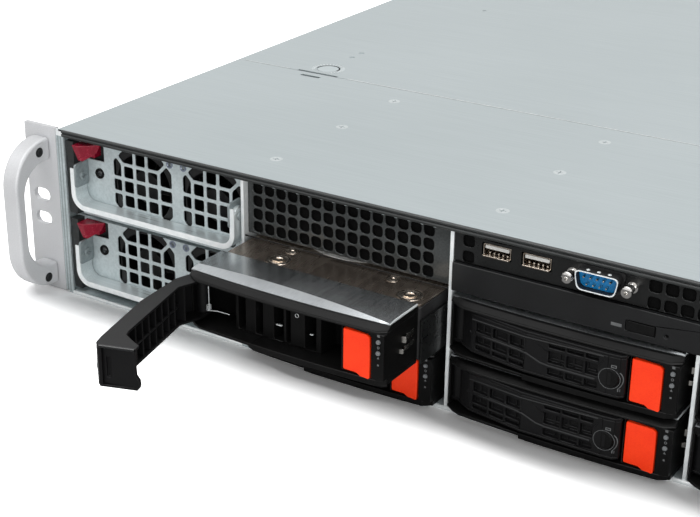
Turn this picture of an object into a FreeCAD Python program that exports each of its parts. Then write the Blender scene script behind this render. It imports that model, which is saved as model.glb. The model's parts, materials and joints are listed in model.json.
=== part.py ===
import FreeCAD, Part
import math
import os

from FreeCAD import Vector

os.makedirs("parts", exist_ok=True)

# Driving sizes, in millimetres
body_width = 437.0
body_height = 88.0
body_depth = 723.0
sheet = 1.2
cover_sheet = 1.0
gap = 0.3
running_fit = 0.05

# Rack ears, to the nineteen-inch standard
rack_unit = 44.45
ear_overhang = 22.8
ear_slot_out = 14.05
ear_slot_pitch = 12.7
ear_slot_radius = 3.4
ear_slot_length = 10.5
ear_thickness = 2.5
ear_flange_depth = 40.0
ear_screw_heights = (18.0, 66.0)
ear_screw_depth = 26.0
front_flange = 4.8
front_flange_out = 1.9
ear_seam = 0.2
hem_depth = 7.0
hem_rise = 0.4

# Handles on the ears
handle_out = 16.5
handle_width = 10.0
handle_reach = 25.0
handle_thickness = 6.0
handle_bottom = 4.3
handle_top_drop = 5.4
handle_foot = 11.8
handle_bend = 22.0
handle_straight = 4.0
handle_screw_depth = 7.5
handle_screw_rise = 5.2
handle_screw_drop = 6.0
handle_screw_sink = 3.0
socket_head = 2.4
socket_hex = 1.25

# Drives and their bays, three columns of two counted from the right wall
drive_width = 101.6
drive_length = 147.0
drive_height = 25.4
drive_base = 19.0
tray_sheet = 1.0
tray_room = 1.5
tray_wall = 20.0
plate_sheet = 0.8
divider = 1.6
wall_room = 0.5
bay_bottom = 2.0
bay_gap = 0.8
rail_width = 2.8
rail_thickness = 1.0
rail_front = 32.0
pulled_out = 40.0
backplane_room = 9.0
backplane_thick = 1.6

# Carrier bezels, with their places measured from the column's left edge and from its right edge
bezel_front = -6.0
bezel_back = 21.0
bezel_wall = 2.5
bezel_inset = 3.6
bezel_pocket = 12.0
plate_front = -1.5
bezel_slots = 6
bezel_slot_start = 22.0
bezel_slot_rib = 3.0
pipe_from_right = 6.2
pipe_heights = (15.2, 20.2)
pipe_radius = 1.05
clip_thickness = 1.6

# Levers, locks and release buttons
hinge_from_edge = 4.2
hinge_depth = 3.0
pin_radius = 1.4
lever_bottom = 3.0
lever_top = 24.2
lever_front = -13.0
lever_back = -3.6
lever_wall = 2.0
lever_tip_room = 1.6
lever_open = 76.5
lever_cells = 3
louvre_rows = ((5.0, 4), (11.0, 3), (17.0, 2))
louvre_count = 6
louvre_start = 12.5
louvre_rib = 1.2
louvre_height = 3.0
lock_from_tip = 6.0
lock_height = 12.6
lock_radius = 4.0
button_from_right = 22.8
button_width = 12.6
button_bottom = 1.6
button_height = 21.0
button_depth = 8.0
button_proud = 0.3
button_travel = 2.0

# Band above the drives
shelf_room = 0.4
shelf_sheet = 0.6
band_drop = 3.6
band_divider_sheet = 1.0
lip_depth = 1.2
optical_width = 128.0
optical_height = 12.8
optical_depth = 127.0
optical_front = -2.0
optical_bezel_back = 3.0
optical_seat = 0.4
optical_side = 0.6
eject_from_left = 75.8
eject_width = 11.2
eject_height = 3.6
eject_rise = 4.2
eject_travel = 1.0
eject_back = 1.2
vent_pitch = 6.7
vent_row_pitch = 6.3
vent_hole = 5.3
vent_corner = 1.4
vent_columns = 15
vent_rows = 4
vent_set_back = 3.0
vent_panel_room = 0.2
panel_sheet = 1.0

# Ports on the strip, measured from the column's left edge
usb_from_left = (13.5, 31.4)
usb_width = 12.5
usb_height = 5.1
usb_rise = 1.6
usb_depth = 14.0
serial_from_left = 66.3
serial_half = 9.4
serial_tall = 8.2
serial_out = 5.8
serial_pin_pitch = 2.77
jack_span = 25.0
jack_hole = 1.2
strip_vent_left = 7.0
strip_vent_right = 87.8
strip_vent_rise = 3.6

# Control panel, drawn at this width and stretched with the room beside the optical drive
control_drawn_width = 82.8
power_from_left = 19.5
power_radius = 6.0
power_corner = 3.6
power_lap = 0.8
power_travel = 1.2
lamp_count = 5
lamp_pitch = 7.5
lamp_width = 3.2
lamp_from_power = 16.0
light_board_start = 12.0
light_board_end = 52.0
control_vent_start = 18.0
well_half = 9.0

# Power supplies
supply_bottom = 3.0
supply_lid_room = 2.4
supply_gap = 1.2
supply_wall_room = 2.3
supply_divider_room = 0.8
supply_face = 5.0
supply_length = 255.0
supply_sheet = 0.8
grille_from_right = 18.9
grille_spacing = 42.8
grille_rise = 21.3
grille_margin = 1.8
grille_chamfer = 7.0
grille_pitch = 7.5
grille_strut = 1.7
grille_shift = -1.1
supply_fan_margin = 2.4
supply_fan_depth = 28.0
supply_hub = 8.2
supply_lamp_from_left = 17.7
supply_lamp_rise = 23.7
bail_strap = 2.0
bail_depth = 9.0
bail_pivot_rise = 22.8
bail_pivot_depth = 0.2
bail_pivot_radius = 1.5
bail_drop = 19.3
bail_corner = 8.0
bail_from_left = 4.4
bail_ear = 4.0
bail_ear_sheet = 1.2
latch_from_left = 4.2
latch_rise = 30.2
latch_height = 8.2
latch_width = 12.2
latch_travel = 4.0

# Covers
seam = 149.4
seam_gap = 0.5
screw_rows = (23.6, 79.7, 129.6)
screw_from_first_divider = 2.6
screw_from_second_divider = 10.8
screw_from_band_divider = -1.7
screw_head = 3.0
screw_shank = 1.5
screw_length = 4.0
strip_half = 7.0
tab_from_side = 53.1
tab_from_seam = 11.1
tab_radius = 6.0
tab_flange = 1.4
tab_press = 1.2
tab_drop = 1.0
lid_screw_from_tab = (10.7, 164.8)
rivet_from_tab = -1.5
rivets_from_tab = (27.0, 37.4)
skirt = 8.0
skirt_sheet = 0.8
skirt_room = 2.1

# Cooling and boards
fan_size = 80.0
fan_depth = 38.0
fan_front = 206.0
fan_bank_margin = 29.5
fan_hub = 16.0
fan_seat = 1.0
blade_count = 7
supply_blade_count = 5
board_from_right = 4.3
board_width = 305.0
board_depth = 330.0
board_height = 8.0
board_thick = 1.6
socket_half = 27.0
socket_tall = 7.0
socket_from_side = 73.0
socket_from_front = 96.0
memory_pitch = 8.5
memory_first = 49.0
sink_half = 44.0
sink_tall = 58.0
sink_base = 5.0
fin_count = 22
fin_thick = 0.8

# Rear wall
aperture_from_right = 6.55
aperture_width = 158.75
aperture_height = 44.45
aperture_bottom = 10.0
port_pitch = 50.0
port_width = 34.0
port_height = 26.0
port_step = 6.0
slot_count = 7
slot_pitch = 20.32
slot_from_aperture = 16.0
slot_width = 13.0
slot_bottom = 6.0
slot_top_drop = 6.7
slot_cover_lap = 1.8
inlets_from_side = (31.5, 77.5)
inlet_height = 56.0
inlet_width = 28.0
inlet_tall = 20.5
rear_vent_pitch = 7.0
rail_hole_front = 90.0
rail_hole_back = 93.0
rail_hole_radius = 1.65

# Derived places
half = body_width / 2
inner = half - sheet
hem_top = sheet + hem_rise
cover_under = body_height - cover_sheet
wall_top = cover_under - gap
band_top = body_height - band_drop
carrier_height = tray_sheet + drive_height + plate_sheet
bay_pitch = carrier_height + bay_gap
column_clear = drive_width + 2 * (tray_sheet + tray_room)
column_pitch = column_clear + divider
column_lefts = [inner - wall_room - column_clear - column_pitch * (2 - i) for i in range(3)]
divider_centres = [x - divider / 2 for x in column_lefts]
cage_back = bezel_back + drive_length + backplane_room
button_left = column_clear - button_from_right
lever_reach = button_left - hinge_from_edge - lever_tip_room
lock_reach = lever_reach - lock_from_tip
shelf_height = bay_bottom + bay_pitch + carrier_height + shelf_room
shelf_top = shelf_height + shelf_sheet
optical_left = column_lefts[1] + optical_side
optical_right = optical_left + optical_width
optical_bottom = shelf_top + optical_seat
optical_top = optical_bottom + optical_height
eject_left = optical_left + eject_from_left
eject_centre = optical_bottom + eject_rise
band_divider = optical_right + optical_side
strip_bottom = optical_top + gap
port_centre = (strip_bottom + band_top) / 2
usb_centre = port_centre + usb_rise
usb_lefts = [column_lefts[1] + x for x in usb_from_left]
serial_x = column_lefts[1] + serial_from_left
jack_places = (serial_x - jack_span / 2, serial_x + jack_span / 2)
control_left = band_divider + band_divider_sheet + gap
control_right = half + front_flange_out - front_flange - gap
control_scale = (control_right - control_left) / control_drawn_width
power_x = control_left + power_from_left * control_scale
power_half = power_radius * control_scale
power_cut = power_corner * control_scale
power_z = (shelf_top + band_top) / 2
supply_left = -inner + supply_wall_room
supply_right = divider_centres[0] - divider / 2 - supply_divider_room
supply_middle = (supply_left + supply_right) / 2
supply_pitch = (cover_under - supply_bottom - supply_lid_room) / 2
supply_height = supply_pitch - supply_gap
supply_fan = supply_height - 2 * supply_fan_margin
grille_half = supply_height / 2 - grille_margin
grille_centres = (supply_right - grille_from_right - grille_spacing, supply_right - grille_from_right)
supply_lamp = supply_left + supply_lamp_from_left
bail_left = supply_left + bail_from_left
bail_right = supply_right
screw_columns = (divider_centres[0] + screw_from_first_divider, divider_centres[1] + screw_from_second_divider,
                 band_divider + screw_from_band_divider)
tab_x = -half + tab_from_side
tab_y = seam + tab_from_seam
handle_left = -half - handle_out
handle_top = body_height - handle_top_drop
handle_screws = (handle_bottom + handle_screw_rise, handle_top - handle_screw_drop)
fan_middle = (column_lefts[0] + inner) / 2
fan_pitch = (inner - column_lefts[0] - fan_bank_margin) / 3
fan_columns = [fan_middle + fan_pitch * i for i in (-1, 0, 1)]
fan_height = sheet + fan_seat + fan_size / 2
fan_tip = fan_size / 2 - 1.6
supply_fan_tip = supply_fan / 2 - 0.8
board_left = inner - board_from_right - board_width
board_right = board_left + board_width
board_back = body_depth - sheet - 3.0
board_front = board_back - board_depth
board_top = board_height + board_thick
socket_row = board_front + socket_from_front
sockets = ((board_left + socket_from_side, socket_row), (board_right - socket_from_side, socket_row))
aperture_left = inner - aperture_from_right - aperture_width
aperture_top = aperture_bottom + aperture_height
port_lefts = [aperture_left + 8.0 + port_pitch * i for i in range(3)]
port_tops = [board_top + port_height - port_step * i for i in range(3)]
slot_rights = [aperture_left - slot_from_aperture - slot_pitch * i for i in range(slot_count)]
slot_top = wall_top - slot_top_drop
inlet_centres = [-half + x for x in inlets_from_side]
rail_holes = (rail_hole_front, body_depth - rail_hole_back)

X = Vector(1, 0, 0)
Y = Vector(0, 1, 0)
Z = Vector(0, 0, 1)


# Shapes. All are drawn with y = 0 at the front of the chassis
def box(x0, x1, y0, y1, z0, z1):
    return Part.makeBox(x1 - x0, y1 - y0, z1 - z0, Vector(x0, y0, z0))


def wire_face(points):
    return Part.Face(Part.makePolygon(points + points[:1]))


def plan(points, z0, z1):
    face = wire_face([Vector(x, y, z0) for x, y in points])
    return face.extrude(Vector(0, 0, z1 - z0))


def front(points, y0, y1):
    face = wire_face([Vector(x, y0, z) for x, z in points])
    return face.extrude(Vector(0, y1 - y0, 0))


def side(points, x0, x1):
    face = wire_face([Vector(x0, y, z) for y, z in points])
    return face.extrude(Vector(x1 - x0, 0, 0))


def rod(x, y, z, axis, radius, length):
    return Part.makeCylinder(radius, length, Vector(x, y, z), axis)


def ring_points(radius, count):
    step = 2 * math.pi / count
    turns = [(i + 0.5) * step for i in range(count)]
    return [(radius * math.cos(a), radius * math.sin(a)) for a in turns]


def prism_y(x, z, radius, count, y0, y1):
    return front([(x + a, z + b) for a, b in ring_points(radius, count)], y0, y1)


def prism_z(x, y, radius, count, z0, z1):
    return plan([(x + a, y + b) for a, b in ring_points(radius, count)], z0, z1)


def octagon(x, z, half_size, corner):
    a = half_size
    b = half_size - corner
    return [(x + b, z - a), (x + a, z - b), (x + a, z + b), (x + b, z + a),
            (x - b, z + a), (x - a, z + b), (x - a, z - b), (x - b, z - a)]


def vent(x, z, y0, y1):
    return front(octagon(x, z, vent_hole / 2, vent_corner), y0, y1)


def fuse(shapes):
    return shapes[0].multiFuse(shapes[1:]).removeSplitter()


def mirrored(shape):
    return shape.mirror(Vector(0, 0, 0), X)


def both(shapes):
    return shapes + [mirrored(shape) for shape in shapes]


def moved(shapes, dy):
    for shape in shapes:
        shape.translate(Vector(0, dy, 0))
    return shapes


# The origin is the middle of the underside, so the front lies half the depth ahead of it
def save(name, shapes):
    whole = Part.makeCompound(shapes)
    whole.translate(Vector(0, -body_depth / 2, 0))
    whole.exportStep("parts/" + name + ".step")


# Chassis pan: floor, walls, flanges, hemmed front edge and board posts, meeting face to face
def rear_cuts():
    y0 = body_depth - sheet - 1
    y1 = body_depth + 1
    cuts = [box(aperture_left, aperture_left + aperture_width, y0, y1, aperture_bottom, aperture_top)]
    for x in slot_rights:
        cuts.append(box(x - slot_width, x, y0, y1, slot_bottom, slot_top))
    for x in inlet_centres:
        cuts.append(box(x - inlet_width / 2, x + inlet_width / 2, y0, y1,
                        inlet_height - inlet_tall / 2, inlet_height + inlet_tall / 2))
    for left, bottom, count in ((aperture_left + 6, aperture_top + 6, 22), (-half + 11.5, 8, 13)):
        for i in range(count):
            for j in range(3):
                x = left + i * rear_vent_pitch
                z = bottom + j * rear_vent_pitch
                cuts.append(box(x, x + vent_hole, y0, y1, z, z + vent_hole))
    return cuts


def board_posts():
    posts = []
    for i in range(3):
        for j in range(3):
            x = board_left + 12 + i * (board_width - 24) / 2
            y = board_front + 10 + j * (board_depth - 20) / 2
            posts.append(prism_z(x, y, 3.2, 6, sheet, board_height))
    return posts


def chassis_pan():
    floor = box(-half, half, 0, body_depth, 0, sheet)
    hem = box(-inner, inner, sheet, hem_depth, sheet, hem_top)
    rear = box(-inner, inner, body_depth - sheet, body_depth, sheet, wall_top).cut(rear_cuts())
    wall = box(-half, -inner, sheet, body_depth, sheet, wall_top)
    wall = wall.cut([rod(-half - 1, y, body_height / 2, X, rail_hole_radius, sheet + 2) for y in rail_holes])
    outer = -half - front_flange_out
    flange = box(outer, outer + front_flange, 0, sheet, sheet, band_top)
    return [floor, hem, rear] + both([wall, flange]) + board_posts()


# Drive cage: dividers, shelf, runners and the strips that take the cover's screws
def side_rails(left, right, bottom, y0, y1):
    z1 = bottom - gap
    z0 = max(z1 - rail_thickness, sheet)
    return [box(left, left + rail_width, y0, y1, z0, z1), box(right - rail_width, right, y0, y1, z0, z1)]


def divider_plates():
    plates = []
    tops = (cover_under, cover_under, shelf_height)
    backs = (supply_face + supply_length + 8, cage_back, cage_back)
    for x, top, back in zip(divider_centres, tops, backs):
        plate = box(x - divider / 2, x + divider / 2, 0, back, sheet, top)
        under_lid = box(x - divider, x + divider, seam - 2, back + 1, wall_top, cover_under + 1)
        over_hem = box(x - divider, x + divider, -1, hem_depth, 0, hem_top)
        plates.append(plate.cut([under_lid, over_hem]))
    return plates


def shelf():
    whole = box(column_lefts[0], inner, 6, cage_back, shelf_height, shelf_top)
    x = divider_centres[1]
    slit = box(x - divider / 2, x + divider / 2, 0, cage_back + 1, shelf_height - 1, shelf_top + 1)
    return whole.cut(slit).Solids


def supply_rails():
    rails = []
    upper = supply_bottom + supply_pitch
    right = divider_centres[0] - divider / 2
    for z0, z1 in ((sheet, supply_bottom - gap), (upper - gap - shelf_sheet, upper - gap)):
        rails.append(box(-inner, supply_left + 3, 9, supply_length, z0, z1))
        rails.append(box(supply_right - 2.2, right, 9, supply_length, z0, z1))
    return rails


def screw_strip(x):
    z = cover_under - sheet
    strip = box(x - strip_half, x + strip_half, 4, seam - 4, z, cover_under)
    cuts = [rod(x, y, z - 1, Z, screw_shank, 4) for y in screw_rows]
    for centre in divider_centres[:2]:
        cuts.append(box(centre - divider / 2, centre + divider / 2, 0, seam, z - 1, cover_under + 1))
    cuts.append(box(band_divider, band_divider + band_divider_sheet, 0, seam, z - 1, cover_under + 1))
    return strip.cut(cuts).Solids


def drive_cage():
    pieces = divider_plates() + shelf()
    x = band_divider
    pieces.append(box(x, x + band_divider_sheet, 0, optical_depth, shelf_top, cover_under))
    rights = [x - divider / 2 for x in divider_centres[1:]] + [inner]
    for left, right in zip(column_lefts, rights):
        for row in range(2):
            pieces += side_rails(left, right, bay_bottom + row * bay_pitch, rail_front, cage_back - 6)
    pieces += supply_rails()
    for x in screw_columns:
        pieces += screw_strip(x)
    return pieces


# Front cover, its lip and every screw that shows on the chassis
def countersink(x, y):
    return Part.makeCone(screw_shank, screw_head, cover_sheet, Vector(x, y, cover_under), Z)


def front_cover():
    flat = box(-half, half, 0, seam - seam_gap / 2, cover_under, body_height)
    slit = box(tab_x - 6.6, tab_x + 5.4, seam - 7, seam - 4.6, cover_under - 1, body_height + 1)
    sinks = [countersink(x, y) for x in screw_columns for y in screw_rows]
    flat = flat.cut(sinks + both([slit]))
    left = box(-inner, -inner + skirt_sheet, 4, seam - 4, cover_under - skirt, cover_under)
    return [fuse([flat] + both([left]))]


def front_lip():
    back = 0
    face = -lip_depth
    groove = face + 0.5
    bottom = band_top + 0.2
    top = body_height - 0.1
    profile = [(face, bottom), (back, bottom), (back, top), (face, top), (face, top - 1.1), (groove, top - 1.1),
               (groove, top - 1.6), (face, top - 1.6)]
    return [side(profile, -half + 0.5, half - 0.5)]


def hex_socket_screw(x, y, z):
    head = rod(x, y, z, X, socket_head, 2.2)
    points = [Vector(x + 1, y + a, z + b) for a, b in ring_points(socket_hex, 6)]
    return head.cut(wire_face(points).extrude(Vector(2, 0, 0)))


def cross_screw(x, y):
    shank = rod(x, y, cover_under - screw_length, Z, screw_shank - 0.01, screw_length)
    bar = 1.7
    slit = 0.3
    cross = [box(x - bar, x + bar, y - slit, y + slit, body_height - 0.5, body_height + 1),
             box(x - slit, x + slit, y - bar, y + bar, body_height - 0.5, body_height + 1)]
    return countersink(x, y).fuse(shank).removeSplitter().cut(cross)


def screws():
    shapes = [cross_screw(x, y) for x in screw_columns for y in screw_rows]
    x = handle_left + handle_width - handle_screw_sink
    shapes += both([hex_socket_screw(x, -handle_screw_depth, z) for z in handle_screws])
    head = 1.4
    x = -half - ear_thickness - head
    shapes += both([rod(x, ear_screw_depth, z, X, 3.4, head) for z in ear_screw_heights])
    return shapes


# Rack ears and handles
def rack_ear():
    right = -half - front_flange_out - ear_seam
    plate = box(-half - ear_overhang, right, 0, ear_thickness, 0.2, body_height - 0.1)
    flange = box(-half - ear_thickness, -half, ear_thickness, ear_flange_depth, 2, wall_top - 2)
    x = -half - ear_slot_out
    reach = ear_slot_length / 2 - ear_slot_radius
    cuts = []
    for z in (rack_unit - ear_slot_pitch / 2, rack_unit + ear_slot_pitch / 2):
        cuts.append(rod(x - reach, -1, z, Y, ear_slot_radius, ear_thickness + 2))
        cuts.append(rod(x + reach, -1, z, Y, ear_slot_radius, ear_thickness + 2))
        cuts.append(box(x - reach, x + reach, -1, ear_thickness + 1, z - ear_slot_radius, z + ear_slot_radius))
    return fuse([plate, flange]).cut(cuts)


# The bar's outline runs from the upper foot round the outside to the lower foot and back round the inside
def handle_outline():
    y_out = -handle_reach
    y_in = y_out + handle_thickness
    outer = handle_bend
    bend = handle_reach - handle_thickness - handle_straight
    top = handle_top - handle_foot
    low = handle_bottom + handle_foot

    def at(y, z):
        return Vector(handle_left, y, z)

    def corner(start, centre, end):
        middle = (start + end) * 0.5 - centre
        middle.normalize()
        return Part.Arc(start, centre + middle * (start - centre).Length, end).toShape()

    points = [at(0, handle_top), at(y_out + outer, handle_top), at(y_out, handle_top - outer),
              at(y_out, handle_bottom + outer), at(y_out + outer, handle_bottom), at(0, handle_bottom),
              at(0, low), at(y_in + bend, low), at(y_in, low + bend), at(y_in, top - bend), at(y_in + bend, top),
              at(0, top)]
    centres = {1: at(y_out + outer, handle_top - outer), 3: at(y_out + outer, handle_bottom + outer),
               7: at(y_in + bend, low + bend), 9: at(y_in + bend, top - bend)}
    edges = []
    for i, start in enumerate(points):
        end = points[(i + 1) % len(points)]
        edges.append(corner(start, centres[i], end) if i in centres else Part.makeLine(start, end))
    return Part.Face(Part.Wire(edges))


def ear_handle():
    bar = handle_outline().extrude(Vector(handle_width, 0, 0))
    x = handle_left + handle_width - handle_screw_sink
    return bar.cut([rod(x, -handle_screw_depth, z, X, socket_head + 0.4, 4) for z in handle_screws])


# Black panels of the top band
def vent_panel():
    left = column_lefts[0] + vent_panel_room
    right = divider_centres[1] - divider / 2 - vent_panel_room
    y0 = vent_set_back
    y1 = y0 + panel_sheet
    plate = box(left, right, y0, y1, shelf_top, band_top)
    first = (left + right) / 2 - (vent_columns - 1) / 2 * vent_pitch
    low = (shelf_top + band_top) / 2 - (vent_rows - 1) / 2 * vent_row_pitch
    holes = [vent(first + i * vent_pitch, low + j * vent_row_pitch, y0 - 1, y1 + 1)
             for i in range(vent_columns) for j in range(vent_rows)]
    returns = [box(left, left + 1, y1, y1 + 13, shelf_top, band_top),
               box(right - 1, right, y1, y1 + 13, shelf_top, band_top)]
    return [fuse([plate.cut(holes)] + returns)]


def serial_points(grow):
    top = serial_half + grow
    low = top - 1.4
    z0 = port_centre - serial_tall / 2 - grow
    z1 = port_centre + serial_tall / 2 + grow
    return [(serial_x - top + 1, z1), (serial_x - top, z1 - 1), (serial_x - low, z0 + 1.2),
            (serial_x - low + 1.2, z0), (serial_x + low - 1.2, z0), (serial_x + low, z0 + 1.2),
            (serial_x + top, z1 - 1), (serial_x + top - 1, z1)]


def io_panel():
    left = column_lefts[1] + gap
    right = band_divider - gap
    plate = box(left, right, 0, panel_sheet, strip_bottom, band_top)
    rim = 0.8
    cuts = [front(serial_points(0.4), -1, 2)]
    for x in usb_lefts:
        cuts.append(box(x - rim, x + usb_width + rim, -1, 2, usb_centre - usb_height / 2 - rim,
                        usb_centre + usb_height / 2 + rim))
    cuts += [rod(x, -1, port_centre, Y, 1.9, 3) for x in jack_places]
    columns = [strip_vent_left] + [strip_vent_right + vent_pitch * i for i in range(6)]
    for x in columns:
        for z in (port_centre - strip_vent_rise, port_centre + strip_vent_rise):
            cuts.append(vent(column_lefts[1] + x, z, -1, 2))
    returns = [box(left, left + 1, panel_sheet, 16, strip_bottom, band_top),
               box(right - 1, right, panel_sheet, 16, strip_bottom, band_top)]
    return [fuse([plate.cut(cuts)] + returns)]


def usb_socket(x):
    z0 = usb_centre - usb_height / 2
    z1 = usb_centre + usb_height / 2
    wall = 0.4
    shell = box(x, x + usb_width, -0.6, usb_depth, z0, z1)
    shell = shell.cut(box(x + wall, x + usb_width - wall, -1, usb_depth - 1, z0 + wall, z1 - wall))
    tongue = box(x + 1, x + usb_width - 1, 1.5, usb_depth - 1, usb_centre + 0.1, usb_centre + 1.9)
    return [shell, tongue]


def serial_port(board_top_z):
    shell = front(serial_points(0), -serial_out, 2).cut(front(serial_points(-0.5), -serial_out - 1, 3))
    insert = front(serial_points(-0.5), -0.8, 2)
    pins = []
    for count, dz in ((5, 1.42), (4, -1.42)):
        for i in range(count):
            x = serial_x + (i - (count - 1) / 2) * serial_pin_pitch
            pins.append(box(x - 0.5, x + 0.5, -4.2, -0.8, port_centre + dz - 0.5, port_centre + dz + 0.5))
    base = box(jack_places[0] - 3, jack_places[1] + 3, 2, 12, port_centre - 6.2, port_centre + 6.2)
    base = base.cut(box(serial_x - 20, serial_x + 20, 3, 13, port_centre - 7, board_top_z))
    return [shell, insert, base] + pins


def jack_post(x):
    post = prism_y(x, port_centre, 2.75, 6, -5.2, -0.01)
    stem = rod(x, -0.01, port_centre, Y, 1.5, 2.01)
    return post.fuse(stem).removeSplitter().cut(rod(x, -6, port_centre, Y, jack_hole, 5))


def front_ports():
    thick = 1.2
    board_z = usb_centre - usb_height / 2 - 1.4
    shapes = [box(usb_lefts[0] - 6, serial_x + 20, 3, 40, board_z, board_z + thick)]
    for x in usb_lefts:
        shapes += usb_socket(x)
    shapes += serial_port(board_z + thick)
    shapes += [jack_post(x) for x in jack_places]
    return shapes


# Optical drive
def optical_drive():
    left = optical_left + 0.6
    right = optical_right - 0.6
    y0 = optical_bezel_back + 1
    wall = 0.6
    top = optical_top - 0.2
    case = box(left, right, y0, optical_depth, shelf_top, top)
    hollow = box(left + wall, right - wall, y0 - 1, optical_depth - wall, shelf_top + wall, top - wall)
    return [case.cut(hollow)]


def optical_tray():
    z0 = optical_bottom
    bezel = box(optical_left, optical_right, optical_front, optical_bezel_back, z0, optical_top)
    reach = eject_height / 2 + gap
    pocket = box(eject_left - gap, eject_left + eject_width + gap, optical_front - 1, eject_back,
                 eject_centre - reach, eject_centre + reach)
    release = rod(eject_left + eject_width + 5.4, optical_front - 1, eject_centre, Y, 0.8, 3)
    tray = box(optical_left + 2.4, optical_right - 2.4, optical_bezel_back, optical_depth - 4, z0 + 1.4, z0 + 9.6)
    x = (optical_left + optical_right) / 2
    y = optical_depth / 2 + 2
    well = prism_z(x, y, 60.2, 32, z0 + 7.6, z0 + 10)
    spindle = prism_z(x, y, 7.5, 16, z0 + 7.6, z0 + 9.2)
    return [fuse([bezel.cut([pocket, release]), tray.cut(well), spindle])]


def eject_button():
    return [box(eject_left, eject_left + eject_width, optical_front - 0.4, eject_back - eject_travel - gap,
                eject_centre - eject_height / 2, eject_centre + eject_height / 2)]


# Control panel
def control_panel():
    stretch = control_scale
    z0 = shelf_top
    plate = box(control_left, control_right, 0, panel_sheet, z0, band_top)
    cuts = [front(octagon(power_x, power_z, power_half + gap, power_cut), -1, 2)]
    lights = []
    for i in range(lamp_count):
        x0 = power_x + (lamp_from_power + i * lamp_pitch) * stretch
        x1 = x0 + lamp_width * stretch
        cuts.append(box(x0, x1, -1, 2, power_z + 2, power_z + 4))
        lights.append(box(x0, x1, 0.1, 3, power_z + 2, power_z + 4))
        x = power_x + (control_vent_start + i * vent_pitch) * stretch
        for z in (z0 + 4.0, z0 + 4.0 + vent_pitch):
            cuts.append(front(octagon(x, z, vent_hole / 2 * stretch, vent_corner * stretch), -1, 2))
    returns = [box(control_left, control_left + 1, panel_sheet, 16, z0, band_top),
               box(control_right - 1, control_right, panel_sheet, 16, z0, band_top)]
    back = 5
    reach = well_half * stretch
    well = box(power_x - reach, power_x + reach, back, back + 1, z0, band_top)
    ties = [box(power_x - reach, power_x - reach + 1, panel_sheet, back, z0, band_top),
            box(power_x + reach - 1, power_x + reach, panel_sheet, back, z0, band_top)]
    light_board = box(power_x + light_board_start * stretch, power_x + light_board_end * stretch, 3, 4.6, power_z,
                      power_z + 6)
    return [fuse([plate.cut(cuts), well] + returns + ties), light_board] + lights


def power_button():
    cap = front(octagon(power_x, power_z, power_half, power_cut), -0.8, 2.4)
    flange = front(octagon(power_x, power_z, power_half + power_lap * control_scale, power_cut + 0.2), 1.4, 2.4)
    return [cap.fuse(flange).removeSplitter()]


# One drive carrier, drawn shut, with its lever, lock and button
def bay(column, row):
    left = column_lefts[column]
    return left, left + column_clear, bay_bottom + row * bay_pitch


def button_points(left, z, grow):
    x0 = left + button_left - grow
    x1 = left + button_left + button_width + grow
    z0 = z + button_bottom - grow
    z1 = z + button_bottom + button_height + grow
    return [(x0, z0 + 2), (x0 + 6.5, z0 + 2), (x0 + 8.6, z0 + 0.5), (x1, z0), (x1, z1 - 1.5), (x1 - 1.4, z1 - 0.5),
            (x0, z1)]


# The bezel's front edges slope back above and below
def bezel_block(left, right, z):
    edge = right - bezel_inset
    top = z + carrier_height
    outline = [(left + 1, bezel_back), (left + 1, -2), (left + 7, bezel_front), (edge - 1.5, bezel_front),
               (edge, bezel_front + 2.5), (edge, bezel_back)]
    slope = [(bezel_front, z + 1.6), (bezel_front + 3.5, z), (bezel_back, z), (bezel_back, top),
             (bezel_front + 4.0, top), (bezel_front, top - 1.2)]
    return plan(outline, z, top).common(side(slope, left, right))


def bezel(left, right, z):
    edge = right - bezel_inset
    top = z + carrier_height
    cuts = [box(left - 1, left + button_left - 1.1, bezel_front - 1, bezel_pocket, z + lever_bottom - gap,
                z + lever_top + gap)]
    cuts.append(box(left + 3, edge - 2, bezel_pocket + 2, bezel_back + 1, z + bezel_wall, top - bezel_wall))
    cuts.append(box(left + 1.6, edge - 0.6, plate_front, bezel_back + 1, top - plate_sheet, top + 1))
    slot_pitch_x = (button_left - bezel_slot_start - 7.8) / bezel_slots
    for i in range(bezel_slots):
        x = left + bezel_slot_start + i * slot_pitch_x
        cuts.append(box(x, x + slot_pitch_x - bezel_slot_rib, bezel_pocket - 1, bezel_pocket + 3, z + 5, z + 22))
    cuts.append(front(button_points(left, z, 0.4), bezel_front - 1, bezel_front + button_depth + button_travel))
    cuts += [rod(right - pipe_from_right, bezel_front - 1, z + dz, Y, pipe_radius + running_fit, 8)
             for dz in pipe_heights]
    cuts.append(rod(left + hinge_from_edge, hinge_depth, z - 1, Z, pin_radius, carrier_height + 2))
    return bezel_block(left, right, z).cut(cuts)


def hard_drive(left, right, z):
    x0 = (left + right - drive_width) / 2
    x1 = x0 + drive_width
    y1 = bezel_back + drive_length
    z0 = z + tray_sheet
    base = box(x0, x1, bezel_back, y1, z0, z0 + drive_base)
    lid = box(x0 + 1, x1 - 1, bezel_back, y1 - 2, z0 + drive_base, z0 + drive_height)
    return base.fuse(lid).removeSplitter()


def carrier_tray(left, right, z):
    x0 = left + tray_room
    x1 = right - tray_room
    y1 = bezel_back + drive_length + 0.2
    floor = box(x0, x1, bezel_back, y1, z, z + tray_sheet)
    floor = floor.cut(box(x0 + 14, x1 - 14, bezel_back + 20, y1 - 20, z - 1, z + 2))
    walls = [box(x0, x0 + tray_sheet, bezel_back, y1, z, z + tray_wall),
             box(x1 - tray_sheet, x1, bezel_back, y1, z, z + tray_wall)]
    return fuse([floor] + walls)


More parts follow.
